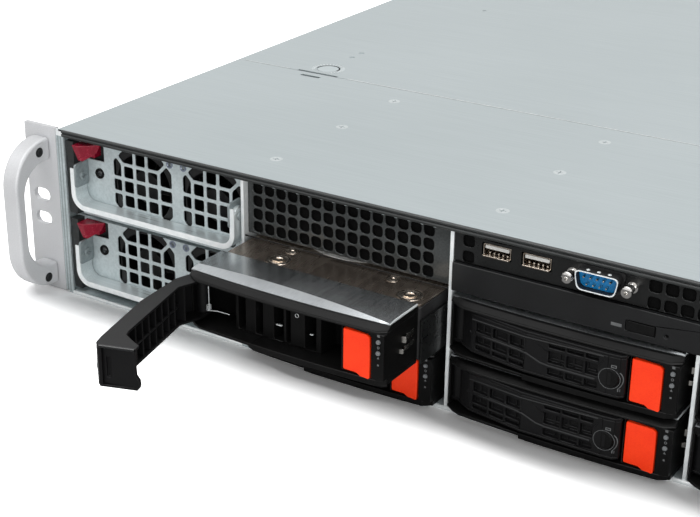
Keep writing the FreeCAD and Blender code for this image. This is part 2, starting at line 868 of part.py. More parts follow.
def carrier(column, row, pulled):
    left, right, z = bay(column, row)
    edge = right - bezel_inset
    top = z + carrier_height
    plate = box(left + 1.6, edge - 0.6, plate_front, bezel_back, top - plate_sheet, top)
    pin = rod(left + hinge_from_edge, hinge_depth, z + 0.6, Z, pin_radius, carrier_height - plate_sheet - 0.6)
    pipes = [rod(right - pipe_from_right, bezel_front - 0.4, z + dz, Y, pipe_radius, 7) for dz in pipe_heights]
    clip = box(edge, edge + clip_thickness, 1, bezel_back - 1, z + 9, z + 19)
    shapes = [carrier_tray(left, right, z), bezel(left, right, z), plate, hard_drive(left, right, z), pin, clip]
    return moved(shapes + pipes, -pulled)


# The lever's outline in plan, with the hinge pin at the origin. Its neck lets it swing clear of the divider
# and of the power supplies' way out
def lever_outline():
    return [(-3.4, 0.6), (-2.6, -3.0), (1.5, -3.9), (3.2, -5.2), (10, lever_front + 4.3), (28, lever_front),
            (lever_reach - 9, lever_front), (lever_reach, lever_front + 2.4),
            (lever_reach - 1.5, 5.5), (lever_reach - 5, 5.5), (lever_reach - 15, lever_back - 0.8), (17, lever_back),
            (7.5, 2.4), (3, 3.6), (-1.6, 3.4)]


def lever_cuts(z):
    cuts = [rod(0, 0, z, Z, pin_radius + running_fit, carrier_height)]
    start = 22.0
    rib = 1.5
    pitch = (lever_reach - 17 - start + rib) / lever_cells
    for i in range(lever_cells):
        u0 = start + i * pitch
        cuts.append(box(u0, u0 + pitch - rib, lever_front + lever_wall + 0.6, 6, z + lever_bottom + lever_wall,
                        z + lever_top - lever_wall))
    cuts.append(rod(lock_reach, lever_front - 3, z + lock_height, Y, lock_radius + gap, 10))
    louvre_pitch = (lever_reach - 12 - louvre_start) / louvre_count
    for rise, skipped in louvre_rows:
        for i in range(louvre_count):
            u0 = louvre_start + i * louvre_pitch
            if i != skipped:
                cuts.append(box(u0, u0 + louvre_pitch - louvre_rib, lever_front - 3, lever_front + 1.0, z + rise,
                                z + rise + louvre_height))
    return cuts


def swung(shape, left, angle, pulled):
    shape.rotate(Vector(0, 0, 0), Z, -angle)
    shape.translate(Vector(left + hinge_from_edge, hinge_depth - pulled, 0))
    return [shape]


def lever(column, row, angle, pulled):
    left, right, z = bay(column, row)
    whole = plan(lever_outline(), z + lever_bottom, z + lever_top)
    return swung(whole.cut(lever_cuts(z)), left, angle, pulled)


def lock(column, row, angle, pulled):
    left, right, z = bay(column, row)
    z += lock_height
    body = rod(lock_reach, lever_front - 0.5, z, Y, lock_radius, 6.5)
    slot = box(lock_reach - 0.6, lock_reach + 0.6, lever_front - 1, lever_front + 0.7, z - 3, z + 3)
    return swung(body.cut(slot), left, angle, pulled)


def release_button(column, row, pulled):
    left, right, z = bay(column, row)
    y0 = bezel_front - button_proud
    return moved([front(button_points(left, z, 0), y0, y0 + button_depth)], -pulled)


# Power supplies
def corner_strut(x, z, sign_x, sign_z, y0, y1):
    near = 1.5 * grille_pitch
    far = 2 * grille_half
    w = grille_strut / 2 * math.sqrt(0.5)
    corners = ((near + w, near - w), (far + w, far - w), (far - w, far + w), (near - w, near + w))
    return front([(x + sign_x * a, z + sign_z * b) for a, b in corners], y0, y1)


def grille_cells(x, z, y0, y1):
    opening = front(octagon(x, z, grille_half, grille_chamfer), y0, y1)
    x += grille_shift
    z += grille_shift
    s = grille_strut / 2
    far = 2 * grille_half
    struts = []
    for i in (-1.5, -0.5, 0.5, 1.5):
        c = i * grille_pitch
        end = far if abs(i) < 1 else abs(c) + s
        struts.append(box(x + c - s, x + c + s, y0 - 1, y1 + 1, z - end, z + end))
        struts.append(box(x - end, x + end, y0 - 1, y1 + 1, z + c - s, z + c + s))
    for sign_x in (-1, 1):
        for sign_z in (-1, 1):
            struts.append(corner_strut(x, z, sign_x, sign_z, y0 - 1, y1 + 1))
    return opening.cut(struts).Solids


def supply_base(index):
    return supply_bottom + index * supply_pitch


def supply_case(z0):
    z1 = z0 + supply_height
    y0 = supply_face
    y1 = supply_face + supply_length
    t = supply_sheet
    case = box(supply_left, supply_right, y0, y1, z0, z1)
    cuts = [box(supply_left + t, supply_right - t, y0 + t, y1 - t, z0 + t, z1 - t)]
    for x in grille_centres:
        cuts += grille_cells(x, z0 + grille_rise, y0 - 1, y0 + t + 0.5)
    latch_left = supply_left + latch_from_left
    cuts.append(box(latch_left - 3, latch_left + latch_width + latch_travel + 0.4, y0 - 1, y0 + t + 0.5,
                    z0 + latch_rise, z0 + latch_rise + latch_height + 0.2))
    cuts.append(rod(supply_lamp, y0 - 1, z0 + supply_lamp_rise, Y, 2.2, 3))
    return fuse([case.cut(cuts)] + bail_brackets(z0 + bail_pivot_rise))


def bail_brackets(pivot_z):
    pieces = []
    pin_length = bail_strap + 2 * gap
    for x, outward in ((bail_left + bail_strap + gap, -1), (bail_right - bail_strap - gap - bail_ear_sheet, 1)):
        pieces.append(box(x, x + bail_ear_sheet, bail_pivot_depth - bail_ear, supply_face, pivot_z - bail_ear,
                          pivot_z + bail_ear))
        start = x + bail_ear_sheet if outward > 0 else x
        pieces.append(rod(start, bail_pivot_depth, pivot_z, X * outward, bail_pivot_radius, pin_length))
    return pieces


def power_supply(index):
    z0 = supply_base(index)
    y0 = supply_face
    y1 = y0 + supply_length
    floor = z0 + supply_sheet
    board = floor + board_thick
    top = z0 + supply_height
    shapes = [supply_case(z0), rod(supply_lamp, y0 - 0.3, z0 + supply_lamp_rise, Y, 1.4, 4)]
    for x in grille_centres:
        shapes.append(fan_frame(x, z0 + grille_rise, y0 + supply_sheet, supply_fan, supply_fan_depth,
                                supply_fan_tip, supply_hub + 0.4))
    shapes.append(box(supply_left + 6, supply_right - 6, y0 + 45, y1 - 4, floor, board))
    shapes.append(box(supply_middle - 20, supply_middle + 20, y0 + 70, y0 + 110, board, top - 5.6))
    shapes.append(box(supply_left + 11, supply_left + 25, y0 + 60, y0 + 220, board, top - 9.6))
    shapes.append(box(supply_middle - 32, supply_middle + 32, y1, y1 + 6, z0 + 12, z0 + 20))
    return shapes


def rounded_u(x0, x1, z0, z1, radius, y):
    a = radius * (1 - math.sqrt(0.5))

    def at(x, z):
        return Vector(x, y, z)

    edges = [Part.makeLine(at(x0, z1), at(x0, z0 + radius)),
             Part.Arc(at(x0, z0 + radius), at(x0 + a, z0 + a), at(x0 + radius, z0)).toShape(),
             Part.makeLine(at(x0 + radius, z0), at(x1 - radius, z0)),
             Part.Arc(at(x1 - radius, z0), at(x1 - a, z0 + a), at(x1, z0 + radius)).toShape(),
             Part.makeLine(at(x1, z0 + radius), at(x1, z1)),
             Part.makeLine(at(x1, z1), at(x0, z1))]
    return Part.Face(Part.Wire(edges)).extrude(Vector(0, bail_depth, 0))


def supply_handle(index):
    pivot_z = supply_base(index) + bail_pivot_rise
    y0 = bail_pivot_depth - bail_depth / 2
    bottom = pivot_z - bail_drop
    t = bail_strap
    outer = rounded_u(bail_left, bail_right, bottom, pivot_z, bail_corner, y0)
    hollow = rounded_u(bail_left + t, bail_right - t, bottom + t, pivot_z + 1, bail_corner - t, y0)
    ends = [rod(x, bail_pivot_depth, pivot_z, X, bail_depth / 2, t) for x in (bail_left, bail_right - t)]
    length = bail_right - bail_left + 2
    bore = rod(bail_left - 1, bail_pivot_depth, pivot_z, X, bail_pivot_radius + running_fit, length)
    return [fuse([outer.cut(hollow)] + ends).cut(bore)]


def supply_latch(index):
    z0 = supply_base(index) + latch_rise
    z1 = z0 + latch_height
    x0 = supply_left + latch_from_left
    y1 = supply_face - gap
    tab = plan([(x0, -3.0), (x0 + 4.5, -3.0), (x0 + latch_width, y1), (x0, y1)], z0, z1)
    stem = box(x0, x0 + 8, y1, supply_face + 14, z0 + 0.8, z1 - 0.8)
    return [tab.fuse(stem).removeSplitter()]


# Fans, with flat-sided hubs and blades
def fan_frame(x, z, y0, size, depth, bore, hub):
    h = size / 2
    back = y0 + depth
    bar = 1.4
    frame = box(x - h, x + h, y0, back, z - h, z + h)
    frame = frame.cut(prism_y(x, z, bore, 24, y0 - 1, back + 1))
    spider = [box(x - h, x + h, back - 2, back, z - bar, z + bar),
              box(x - bar, x + bar, back - 2, back, z - h, z + h)]
    return fuse([frame, prism_y(x, z, hub, 16, back - 2, back)] + spider)


def fan_rotor(x, z, y0, depth, hub, tip, blades):
    front_y = y0 + 2
    back = y0 + depth - 2 - gap
    pitch = (back - front_y) * 0.8
    root = hub * 0.9
    shapes = [prism_y(x, z, hub, 16, front_y, back)]
    for i in range(blades):
        section = [Vector(root, front_y + 1, -hub * 0.25), Vector(root, front_y + 2.6, -hub * 0.25),
                   Vector(root, front_y + 1 + pitch, hub * 0.5), Vector(root, front_y - 0.6 + pitch, hub * 0.5)]
        blade = wire_face(section).extrude(Vector(tip * 0.94 - root, 0, 0))
        blade.rotate(Vector(0, 0, 0), Y, 360.0 * i / blades)
        blade.translate(Vector(x, 0, z))
        shapes.append(blade)
    return [fuse(shapes)]


# Rear lid with its press tabs
def top_lid():
    flat = box(-half, half, seam + seam_gap / 2, body_depth, cover_under, body_height)
    screw_x = tab_x + lid_screw_from_tab[0]
    screw_y = tab_y + lid_screw_from_tab[1]
    cuts = [box(tab_x - 13.3, tab_x + 12.6, seam - 1, seam + 1.9, cover_under - 1, body_height + 1),
            rod(tab_x, tab_y, cover_under - 1, Z, tab_radius + gap, 4), countersink(screw_x, screw_y)]
    cuts += [rod(tab_x + rivet_from_tab, tab_y + y, body_height - 0.4, Z, 1.5, 2) for y in rivets_from_tab]
    flat = flat.cut(both(cuts))
    x = -inner + 0.7
    left = box(x, x + skirt_sheet, seam + 6, body_depth - 8, cover_under - skirt, cover_under)
    guard_top = cover_under - tab_drop - tab_press - gap
    low = guard_top - 0.6
    reach = tab_radius + 3
    wall = 0.8
    y0 = tab_y - reach
    y1 = tab_y + reach
    guard = [box(tab_x - reach, tab_x + reach, y0, y1, low, guard_top),
             box(tab_x - reach, tab_x - reach + wall, y0, y1, low, cover_under),
             box(tab_x + reach - wall, tab_x + reach, y0, y1, low, cover_under)]
    return [fuse([flat] + both([left] + guard))] + both([cross_screw(screw_x, screw_y)])


def lid_tab():
    seat = 0.4
    cap = rod(tab_x, tab_y, cover_under - seat, Z, tab_radius, cover_sheet + seat)
    flange = rod(tab_x, tab_y, cover_under - tab_drop, Z, tab_radius + tab_flange, tab_drop - seat)
    return cap.fuse(flange).removeSplitter()


# Inside
def drive_backplane():
    y0 = cage_back
    y1 = y0 + backplane_thick
    board = box(column_lefts[0], inner - 0.4, y0, y1, sheet, shelf_height - 1.6)
    vents = []
    sockets_y = bezel_back + drive_length + 0.6
    shapes = []
    for column in range(3):
        for row in range(2):
            left, right, z = bay(column, row)
            vents.append(box(left + 62, right - 8.6, y0 - 1, y1 + 1, z + 4, z + 20))
            shapes.append(box(left + 12, left + 56, sockets_y, y0, z + 3, z + 10))
    y0 = supply_face + supply_length + 6.4
    power_board = box(-inner + skirt_room, divider_centres[0] - divider / 2, y0, y0 + backplane_thick, sheet,
                      wall_top - 3)
    return [board.cut(vents), power_board] + shapes


def fan_wall():
    plate = box(column_lefts[0], inner - skirt_room, fan_front - 1, fan_front, sheet, wall_top - 0.6)
    holes = [prism_y(x, fan_height, fan_tip + 0.2, 24, fan_front - 2, fan_front + 1) for x in fan_columns]
    plate = plate.cut(holes)
    base = box(fan_columns[0] - fan_size / 2, fan_columns[2] + fan_size / 2, fan_front, fan_front + fan_depth,
               sheet, sheet + fan_seat)
    frames = [fan_frame(x, fan_height, fan_front, fan_size, fan_depth, fan_tip, fan_hub + 1) for x in fan_columns]
    return frames + [plate, base]


def memory_bank(x, y):
    shapes = []
    for sign in (-1, 1):
        for i in range(3):
            slot_x = x + sign * (memory_first + i * memory_pitch)
            shapes.append(box(slot_x - 3, slot_x + 3, y - 70, y + 70, board_top, board_top + 6))
            shapes.append(box(slot_x - 0.7, slot_x + 0.7, y - 66.5, y + 66.5, board_top + 6, board_top + 31))
    return shapes


def motherboard():
    shapes = [box(board_left, board_right, board_front, board_back, board_height, board_top)]
    for x, y in sockets:
        shapes.append(box(x - socket_half, x + socket_half, y - socket_half, y + socket_half, board_top,
                          board_top + socket_tall))
        shapes += memory_bank(x, y)
    for right in slot_rights[:-1]:
        x = right - slot_width / 2
        shapes.append(box(x - 3.7, x + 3.7, board_back - 120, board_back - 31, board_top, board_top + 11))
    x = board_left + 202
    shapes.append(box(x, x + 40, board_back - 108, board_back - 68, board_top, board_top + 14))
    x = board_left + 130
    shapes.append(box(x, x + 52, board_front + 4, board_front + 14, board_top, board_top + 13))
    for x, top in zip(port_lefts, port_tops):
        shapes.append(box(x, x + port_width, board_back - 24, board_back, board_top, top))
    return shapes


def heatsinks():
    shapes = []
    pitch = (2 * sink_half - fin_thick) / (fin_count - 1)
    for x, y in sockets:
        z = board_top + socket_tall
        pieces = [box(x - sink_half, x + sink_half, y - sink_half, y + sink_half, z, z + sink_base)]
        for i in range(fin_count):
            fin = x - sink_half + i * pitch
            pieces.append(box(fin, fin + fin_thick, y - sink_half, y + sink_half, z + sink_base, z + sink_tall))
        shapes.append(fuse(pieces))
    return shapes


# Rear wall fittings
def port_block(x0, x1, y0, y1, z0, z1):
    block = box(x0, x1, y0, y1, z0, z1)
    width = (x1 - x0 - 6) / 2
    lefts = (x0 + 2, x0 + 4 + width)
    return block.cut([box(x, x + width, y1 - 2.4, y1 + 1, z0 + 2, z1 - 2) for x in lefts])


def power_inlet(x, z):
    y1 = body_depth + 1.5
    cup_back = y1 - 16
    w = inlet_width / 2 - 0.4
    h = inlet_tall / 2 - 0.4
    body = box(x - w, x + w, body_depth - 22, y1, z - h, z + h)
    flange = box(x - w - 4, x + w + 4, body_depth, y1, z - h - 2, z + h + 2)
    a = w - 2
    b = h - 2
    cup = front([(x - a, z - b), (x + a, z - b), (x + a, z + b - 3), (x + a - 4, z + b), (x - a + 4, z + b),
                 (x - a, z + b - 3)], cup_back, y1 + 1)
    blades = [box(x + dx - 1, x + dx + 1, cup_back, y1 - 3, z + dz - 2, z + dz + 2)
              for dx, dz in ((-7, -1), (0, 3), (7, -1))]
    return fuse([body.fuse(flange).cut(cup)] + blades)


def rear_panel():
    y0 = body_depth - sheet
    shield = box(aperture_left, aperture_left + aperture_width, y0, y0 + 0.8, aperture_bottom, aperture_top)
    rim = 0.4
    cuts = []
    shapes = []
    for x, top in zip(port_lefts, port_tops):
        cuts.append(box(x - rim, x + port_width + rim, y0 - 1, body_depth + 1, aperture_bottom, top + rim))
        shapes.append(port_block(x, x + port_width, board_back, body_depth - 0.2, board_top + 1, top - rim))
    for x in slot_rights:
        shapes.append(box(x - slot_width - slot_cover_lap, x + slot_cover_lap, y0 - 0.9, y0, slot_bottom - 2,
                          slot_top + 2))
    shapes += [power_inlet(x, inlet_height) for x in inlet_centres]
    return [shield.cut(cuts)] + shapes


save("chassis_pan", chassis_pan())
save("drive_cage", drive_cage())
save("front_cover", front_cover())
save("front_lip", front_lip())
save("rack_ears", both([rack_ear()]))
save("ear_handles", both([ear_handle()]))
save("screws", screws())
save("vent_panel", vent_panel())
save("io_panel", io_panel())
save("front_ports", front_ports())
save("optical_drive", optical_drive())
save("optical_tray", optical_tray())
save("eject_button", eject_button())
save("control_panel", control_panel())
save("power_button", power_button())
save("drive_backplane", drive_backplane())
save("fan_wall", fan_wall())
save("motherboard", motherboard())
save("heatsinks", heatsinks())
save("rear_panel", rear_panel())
save("top_lid", top_lid())
save("lid_tab_left", [lid_tab()])
save("lid_tab_right", [mirrored(lid_tab())])
for i, x in enumerate(fan_columns):
    rotor = fan_rotor(x, fan_height, fan_front, fan_depth, fan_hub, fan_tip, blade_count)
    save("fan_rotor_%d" % (i + 1), rotor)
for index, name in enumerate(("lower", "upper")):
    save("supply_" + name, power_supply(index))
    save("supply_handle_" + name, supply_handle(index))
    save("supply_latch_" + name, supply_latch(index))
    for x, place in zip(grille_centres, ("left", "right")):
        rotor = fan_rotor(x, supply_base(index) + grille_rise, supply_face + supply_sheet, supply_fan_depth,
                          supply_hub, supply_fan_tip, supply_blade_count)
        save("supply_rotor_%s_%s" % (name, place), rotor)
for column, column_name in enumerate(("middle", "port", "right")):
    for row, row_name in enumerate(("lower", "upper")):
        name = "%s_%s" % (column_name, row_name)
        is_open = name == "middle_upper"
        pulled = pulled_out if is_open else 0.0
        angle = lever_open if is_open else 0.0
        save("carrier_" + name, carrier(column, row, pulled))
        save("lever_" + name, lever(column, row, angle, pulled))
        save("lock_" + name, lock(column, row, angle, pulled))
        save("button_" + name, release_button(column, row, pulled))
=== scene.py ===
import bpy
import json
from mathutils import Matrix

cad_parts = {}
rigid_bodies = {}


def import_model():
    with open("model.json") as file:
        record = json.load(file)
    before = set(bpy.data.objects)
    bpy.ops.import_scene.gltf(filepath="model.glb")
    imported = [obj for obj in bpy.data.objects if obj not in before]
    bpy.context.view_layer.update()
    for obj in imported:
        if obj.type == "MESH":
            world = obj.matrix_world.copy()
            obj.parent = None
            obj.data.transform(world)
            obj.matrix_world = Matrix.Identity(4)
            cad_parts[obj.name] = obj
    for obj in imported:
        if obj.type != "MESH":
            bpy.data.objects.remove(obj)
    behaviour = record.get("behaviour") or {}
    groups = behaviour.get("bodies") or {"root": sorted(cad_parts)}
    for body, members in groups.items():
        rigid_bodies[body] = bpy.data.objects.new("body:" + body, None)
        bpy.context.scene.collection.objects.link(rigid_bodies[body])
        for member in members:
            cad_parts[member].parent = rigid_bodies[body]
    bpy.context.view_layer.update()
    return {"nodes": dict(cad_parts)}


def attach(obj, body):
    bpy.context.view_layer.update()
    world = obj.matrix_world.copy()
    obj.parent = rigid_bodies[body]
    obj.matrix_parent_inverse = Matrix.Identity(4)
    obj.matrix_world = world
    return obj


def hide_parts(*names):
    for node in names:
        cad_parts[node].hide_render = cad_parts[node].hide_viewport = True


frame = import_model()

import json
import math

import bmesh
import bpy
from mathutils import Matrix, Vector

# Shapes are drawn in millimetres with y = 0 at the front of the chassis, and built in metres
MM = 0.001
FRONT = -361.5
COLUMNS = {"middle": -106.2, "port": 2.0, "right": 110.2}
ROWS = {"lower": 2.0, "upper": 30.0}
PULLED = 40.0
OPENED = 76.5
HINGE = (4.2, 3.0)
SUPPLIES = {"lower": 3.0, "upper": 43.8}
DRAWN = "middle_upper"
CREASE = math.radians(32)


# Materials
def linear(code):
    values = [int(code[i:i + 2], 16) / 255 for i in (1, 3, 5)]
    return [v / 12.92 if v <= 0.04045 else ((v + 0.055) / 1.055) ** 2.4 for v in values] + [1.0]


def add(tree, kind, links, **settings):
    made = tree.nodes.new(kind)
    for key, value in settings.items():
        setattr(made, key, value)
    for socket, value in links.items():
        if isinstance(value, bpy.types.NodeSocket):
            tree.links.new(value, made.inputs[socket])
        else:
            made.inputs[socket].default_value = value
    return made


# The fine pattern takes one size in millimetres or three, and a broad mottle lies under it
def finish(name, deep, pale, metallic, rough, grain, relief=0.0, mottle=40.0, edge=0.0, **extra):
    made = bpy.data.materials.new(name)
    made.use_nodes = True
    tree = made.node_tree
    shader = tree.nodes["Principled BSDF"]
    place = add(tree, "ShaderNodeTexCoord", {}).outputs["Object"]
    sizes = grain if isinstance(grain, tuple) else (grain,) * 3
    fine_at = add(tree, "ShaderNodeMapping", {"Vector": place,
                                              "Scale": [1 / (g * MM) for g in sizes]}).outputs[0]
    fine = add(tree, "ShaderNodeTexNoise", {"Vector": fine_at, "Scale": 1.0, "Detail": 2.0}).outputs[0]
    broad = add(tree, "ShaderNodeTexNoise", {"Vector": place, "Scale": 1 / (mottle * MM),
                                             "Detail": 2.0}).outputs[0]
    mixed = add(tree, "ShaderNodeMix", {0: 0.4, 2: fine, 3: broad}).outputs[0]
    level = add(tree, "ShaderNodeMapRange", {0: mixed, 1: 0.35, 2: 0.65, 3: 0.0, 4: 1.0}).outputs[0]
    colour = add(tree, "ShaderNodeMix", {0: level, 6: linear(deep), 7: linear(pale)},
                 data_type="RGBA").outputs[2]
    dull = add(tree, "ShaderNodeMapRange", {0: level, 1: 0.0, 2: 1.0, 3: rough[0], 4: rough[1]}).outputs[0]
    tree.links.new(colour, shader.inputs["Base Color"])
    tree.links.new(dull, shader.inputs["Roughness"])
    shader.inputs["Metallic"].default_value = metallic
    for socket, value in extra.items():
        shader.inputs[socket.replace("_", " ")].default_value = value
    normal = None
    if edge:
        normal = add(tree, "ShaderNodeBevel", {"Radius": edge * MM}, samples=4).outputs[0]
    if relief:
        links = {"Height": fine, "Distance": relief * MM, "Strength": 1.0}
        if normal:
            links["Normal"] = normal
        normal = add(tree, "ShaderNodeBump", links).outputs[0]
    if normal:
        tree.links.new(normal, shader.inputs["Normal"])
    return made


# Rolled sheet: long faint streaks across the covers and a cool sheen that fades slowly
cover_zinc = finish("galvanised_steel_sheet_rolled", "#BAC4C6", "#C5CED0", 0.55, (0.4, 0.44),
                    (40, 0.6, 40), relief=0.002, mottle=160, edge=0.35)
# Plated and passivated sheet: paler, bluish, with a soft cloudy bloom
zinc = finish("zinc_plated_steel_passivated", "#B3BEC0", "#C8D2D4", 0.3, (0.36, 0.48), (1.2, 9, 1.2),
              relief=0.003, mottle=14, edge=0.3)
# Bare cut edges and bails: brushed along their length so that they glint
bail_zinc = finish("zinc_plated_steel_brushed", "#BAC3C5", "#D4DBDC", 0.4, (0.26, 0.38), (22, 0.5, 0.5),
                   relief=0.004, mottle=20, edge=0.3)
# Sheared edges and bright plated springs: almost white where they face the light. The same near-white also
# covers strips on edges, seams and small parts as painted highlight
bright_zinc_and_highlight = finish("zinc_plated_steel_bright", "#E2E8E9", "#F2F5F5", 0.15, (0.3, 0.4), 3, relief=0.002,
                     mottle=12, edge=0.2)
# Bead blasting: an even, pale grain, drawn coarser than the real one so that it shows
satin_alu = finish("aluminium_bead_blasted_anodised", "#CDCED0", "#DBDCDE", 0.25, (0.42, 0.52), 0.5,
                   relief=0.012, mottle=25, edge=0.5)
# Small turned and plated parts: bright, with turning marks
nickel = finish("steel_nickel_plated", "#B9B7B2", "#E2DFD9", 1.0, (0.16, 0.3), 0.6, relief=0.004, mottle=4,
                edge=0.15)
# Thin nickel over brass: a warm mirror with drawing lines
copper_shell = finish("brass_shell_nickel_plated", "#C9B7A4", "#EDE3D8", 1.0, (0.14, 0.26), (4, 0.4, 0.4),
                      mottle=6, edge=0.1)
# Plain mirror plating: shows the dark strip behind it
chrome = finish("steel_chromium_plated", "#C9C7C4", "#E4E2DF", 1.0, (0.06, 0.12), 1.5, mottle=5)
# Darker plating on the pressed brackets. The same darker zinc makes the strips of painted shade at the
# flange folds
dull_zinc_and_shade = finish("zinc_plated_steel_dull", "#858E90", "#9EA7A9", 0.5, (0.36, 0.48), 2, relief=0.004,
                   mottle=9)
# Open foam, almost black. The same black is laid in a gap and a hole as painted shade
foam_and_painted_shade = finish("polyurethane_filter_foam", "#030303", "#0B0B0B", 0.0, (0.8, 0.95), 0.9, relief=0.3,
              mottle=6, Specular_IOR_Level=0.1)
# Powder coat: near black with a slight orange peel
powder = finish("steel_black_powder_coated", "#0E0F0F", "#171818", 0.0, (0.26, 0.36), 0.8, relief=0.015,
                mottle=20, edge=0.25, Specular_IOR_Level=0.4)
# The vent panel's coat is thinner and greyer, so that the rims of its holes show
vent_paint = finish("steel_grey_electrocoated", "#303333", "#3C3F3F", 0.0, (0.18, 0.26), 0.8, relief=0.004,
                    mottle=30, edge=0.3)
# Lacquered sheet: dark grey with a soft shine along its length. The same dark grey is painted shade on the
# supply's guide
lip_paint_and_gap_shade = finish("steel_black_lacquered", "#232525", "#2E3131", 0.0, (0.3, 0.4), (30, 0.7, 0.7),
                   relief=0.006, mottle=30, edge=0.2)
# Spark-eroded texture: black with a weak sheen, drawn coarser than the real one so that it shows
black_plastic = finish("abs_moulded_spark_textured", "#070707", "#0E0E0E", 0.0, (0.36, 0.48), 0.5,
                       relief=0.01, mottle=18, Specular_IOR_Level=0.2)
# Fine moulded texture: black with a weak, wide sheen
lever_plastic = finish("nylon_moulded_fine_textured", "#080809", "#101011", 0.0, (0.4, 0.5), 0.45,
                       relief=0.01, mottle=22, Specular_IOR_Level=0.25)
# Moulded in a polished tool: dark with a narrow highlight
polished_nylon = finish("nylon_moulded_polished", "#141516", "#1F2021", 0.0, (0.12, 0.2), 0.6, mottle=9)
# Matt moulding, a shade paler than the levers
bezel_grey = finish("abs_moulded_matt_grey", "#121213", "#1A1B1C", 0.0, (0.34, 0.44), 0.5, relief=0.008,
                    mottle=20, Specular_IOR_Level=0.4)
# Coloured right through, satin: a strong orange with little gloss
orange_plastic = finish("abs_moulded_orange_satin", "#F03207", "#F83D0D", 0.0, (0.4, 0.5), 0.5,
                        relief=0.006, mottle=9, Specular_IOR_Level=0.2)
# Glossy moulding: deep red with clear highlights
crimson_plastic = finish("abs_moulded_crimson_gloss", "#780A22", "#98142F", 0.0, (0.2, 0.3), 0.7,
                         relief=0.004, mottle=7)
# Connector moulding: an even blue with a dull shine
blue_plastic = finish("pbt_moulded_blue", "#0A6BA6", "#1A86C6", 0.0, (0.3, 0.4), 0.5, mottle=5,
                      Specular_IOR_Level=0.3)
# Connector moulding without dye: a dull pale grey
pale_plastic = finish("pbt_moulded_pale", "#A9A9A6", "#C9C9C5", 0.0, (0.4, 0.5), 0.5, mottle=4)
# Glass-filled moulding: dull black and slightly rough
fan_plastic = finish("nylon_moulded_glass_filled", "#060606", "#0C0C0D", 0.0, (0.4, 0.55), 0.4,
                     relief=0.01, mottle=8, edge=0.2)
# Stainless top plate: fine lines brushed from front to back
brushed_plate = finish("stainless_sheet_brushed", "#B9BCBE", "#D3D6D8", 1.0, (0.2, 0.27), (0.35, 40, 0.35),
                       relief=0.002, mottle=30)
# Where the sheet is bent, the brushing blurs into satin
plate_edge = finish("stainless_sheet_bent_satin", "#AFB3B6", "#C5C9CB", 1.0, (0.34, 0.44), (0.4, 30, 0.4),
                    relief=0.002, mottle=25)
# Drive lid: nickel with a warm cast, drawn from front to back
drive_lid = finish("drive_lid_nickel_drawn", "#7C7168", "#92877C", 0.85, (0.24, 0.3), (3.5, 90, 3.5),
                   relief=0.001, mottle=40)
# Coined metal: small bright mirrors with a warm cast
drive_pad = finish("drive_lid_coined_pad", "#CDBFB0", "#EADFD2", 1.0, (0.16, 0.26), 0.9, mottle=4)
# Black die casting: dull, with a slightly rough skin. The same black makes the serial sleeve, a painted
# reflection
drive_case_and_dark_reflection = finish("aluminium_die_cast_black", "#1A1A1B", "#2A2A2B", 0.3, (0.4, 0.55), 0.8, relief=0.02,
                    mottle=10)
# Label paper: white and matt
paper = finish("label_paper_white", "#E6E6E4", "#F4F4F2", 0.0, (0.5, 0.6), 0.4, mottle=12)
# Clear plastic dyed grey: dark and glossy
smoky_lens = finish("polycarbonate_smoky_lens", "#191B1C", "#2B2E2F", 0.0, (0.08, 0.16), 0.4, mottle=2)
# Printed ink: flat grey
ink_grey = finish("pad_print_grey", "#4A4C4D", "#6B6D6E", 0.0, (0.45, 0.55), 0.3, mottle=3)
# Clear rods seen from the end: grey with a sharp highlight
clear_pipe = finish("polycarbonate_light_pipe", "#4C4F51", "#7A7D7F", 0.0, (0.05, 0.12), 0.4, mottle=2)
# Solder mask over glass cloth: green with a soft shine
laminate = finish("glass_laminate_solder_masked", "#123A22", "#1D5634", 0.0, (0.3, 0.42), 1.5, relief=0.01,
                  mottle=12, edge=0.2)
# Extruded fins: pale bare metal with lines from front to back
fin_alu = finish("aluminium_extruded_bare", "#B4B6B8", "#D2D4D6", 0.9, (0.3, 0.42), (0.6, 14, 6),
                 relief=0.004, mottle=14, edge=0.15)
# Plated screw heads: a little brighter than the cover round them
cover_screw = finish("steel_zinc_plated_countersunk", "#C6CECF", "#DAE0E1", 0.3, (0.3, 0.42), 0.8,
                     mottle=5, edge=0.1)
# Bluish heads of the fan bolts, with their chromate left on
blue_chromate = finish("steel_blue_chromated", "#7F8799", "#9CA4B4", 0.6, (0.3, 0.4), 0.7, mottle=4)
# Heat-proof connector moulding: dull ivory
socket_plastic = finish("lcp_moulded_ivory", "#B9B4A4", "#CFCABA", 0.0, (0.4, 0.5), 0.6, mottle=6, edge=0.2)


# Flat outlines
def rect(a0, a1, b0, b1):
    return [(a0, b0), (a1, b0), (a1, b1), (a0, b1)]


def disc(a, b, radius, count=24):
    return [(a + radius * math.cos(2 * math.pi * i / count), b + radius * math.sin(2 * math.pi * i / count))
            for i in range(count)]


def arc(a, b, radius, start, end, count=10):
    turns = [math.radians(start + (end - start) * i / count) for i in range(count + 1)]
    return [(a + radius * math.cos(t), b + radius * math.sin(t)) for t in turns]


def rounded(points, radius, steps=4):
    done = []
    for i, corner in enumerate(points):
        here = Vector(corner)
        back = Vector(points[i - 1]) - here
        on = Vector(points[(i + 1) % len(points)]) - here
        start = here + back * min(radius / back.length, 0.45)
        end = here + on * min(radius / on.length, 0.45)
        for k in range(steps + 1):
            t = k / steps
            done.append(tuple(start * (1 - t) ** 2 + here * 2 * t * (1 - t) + end * t ** 2))
    return done


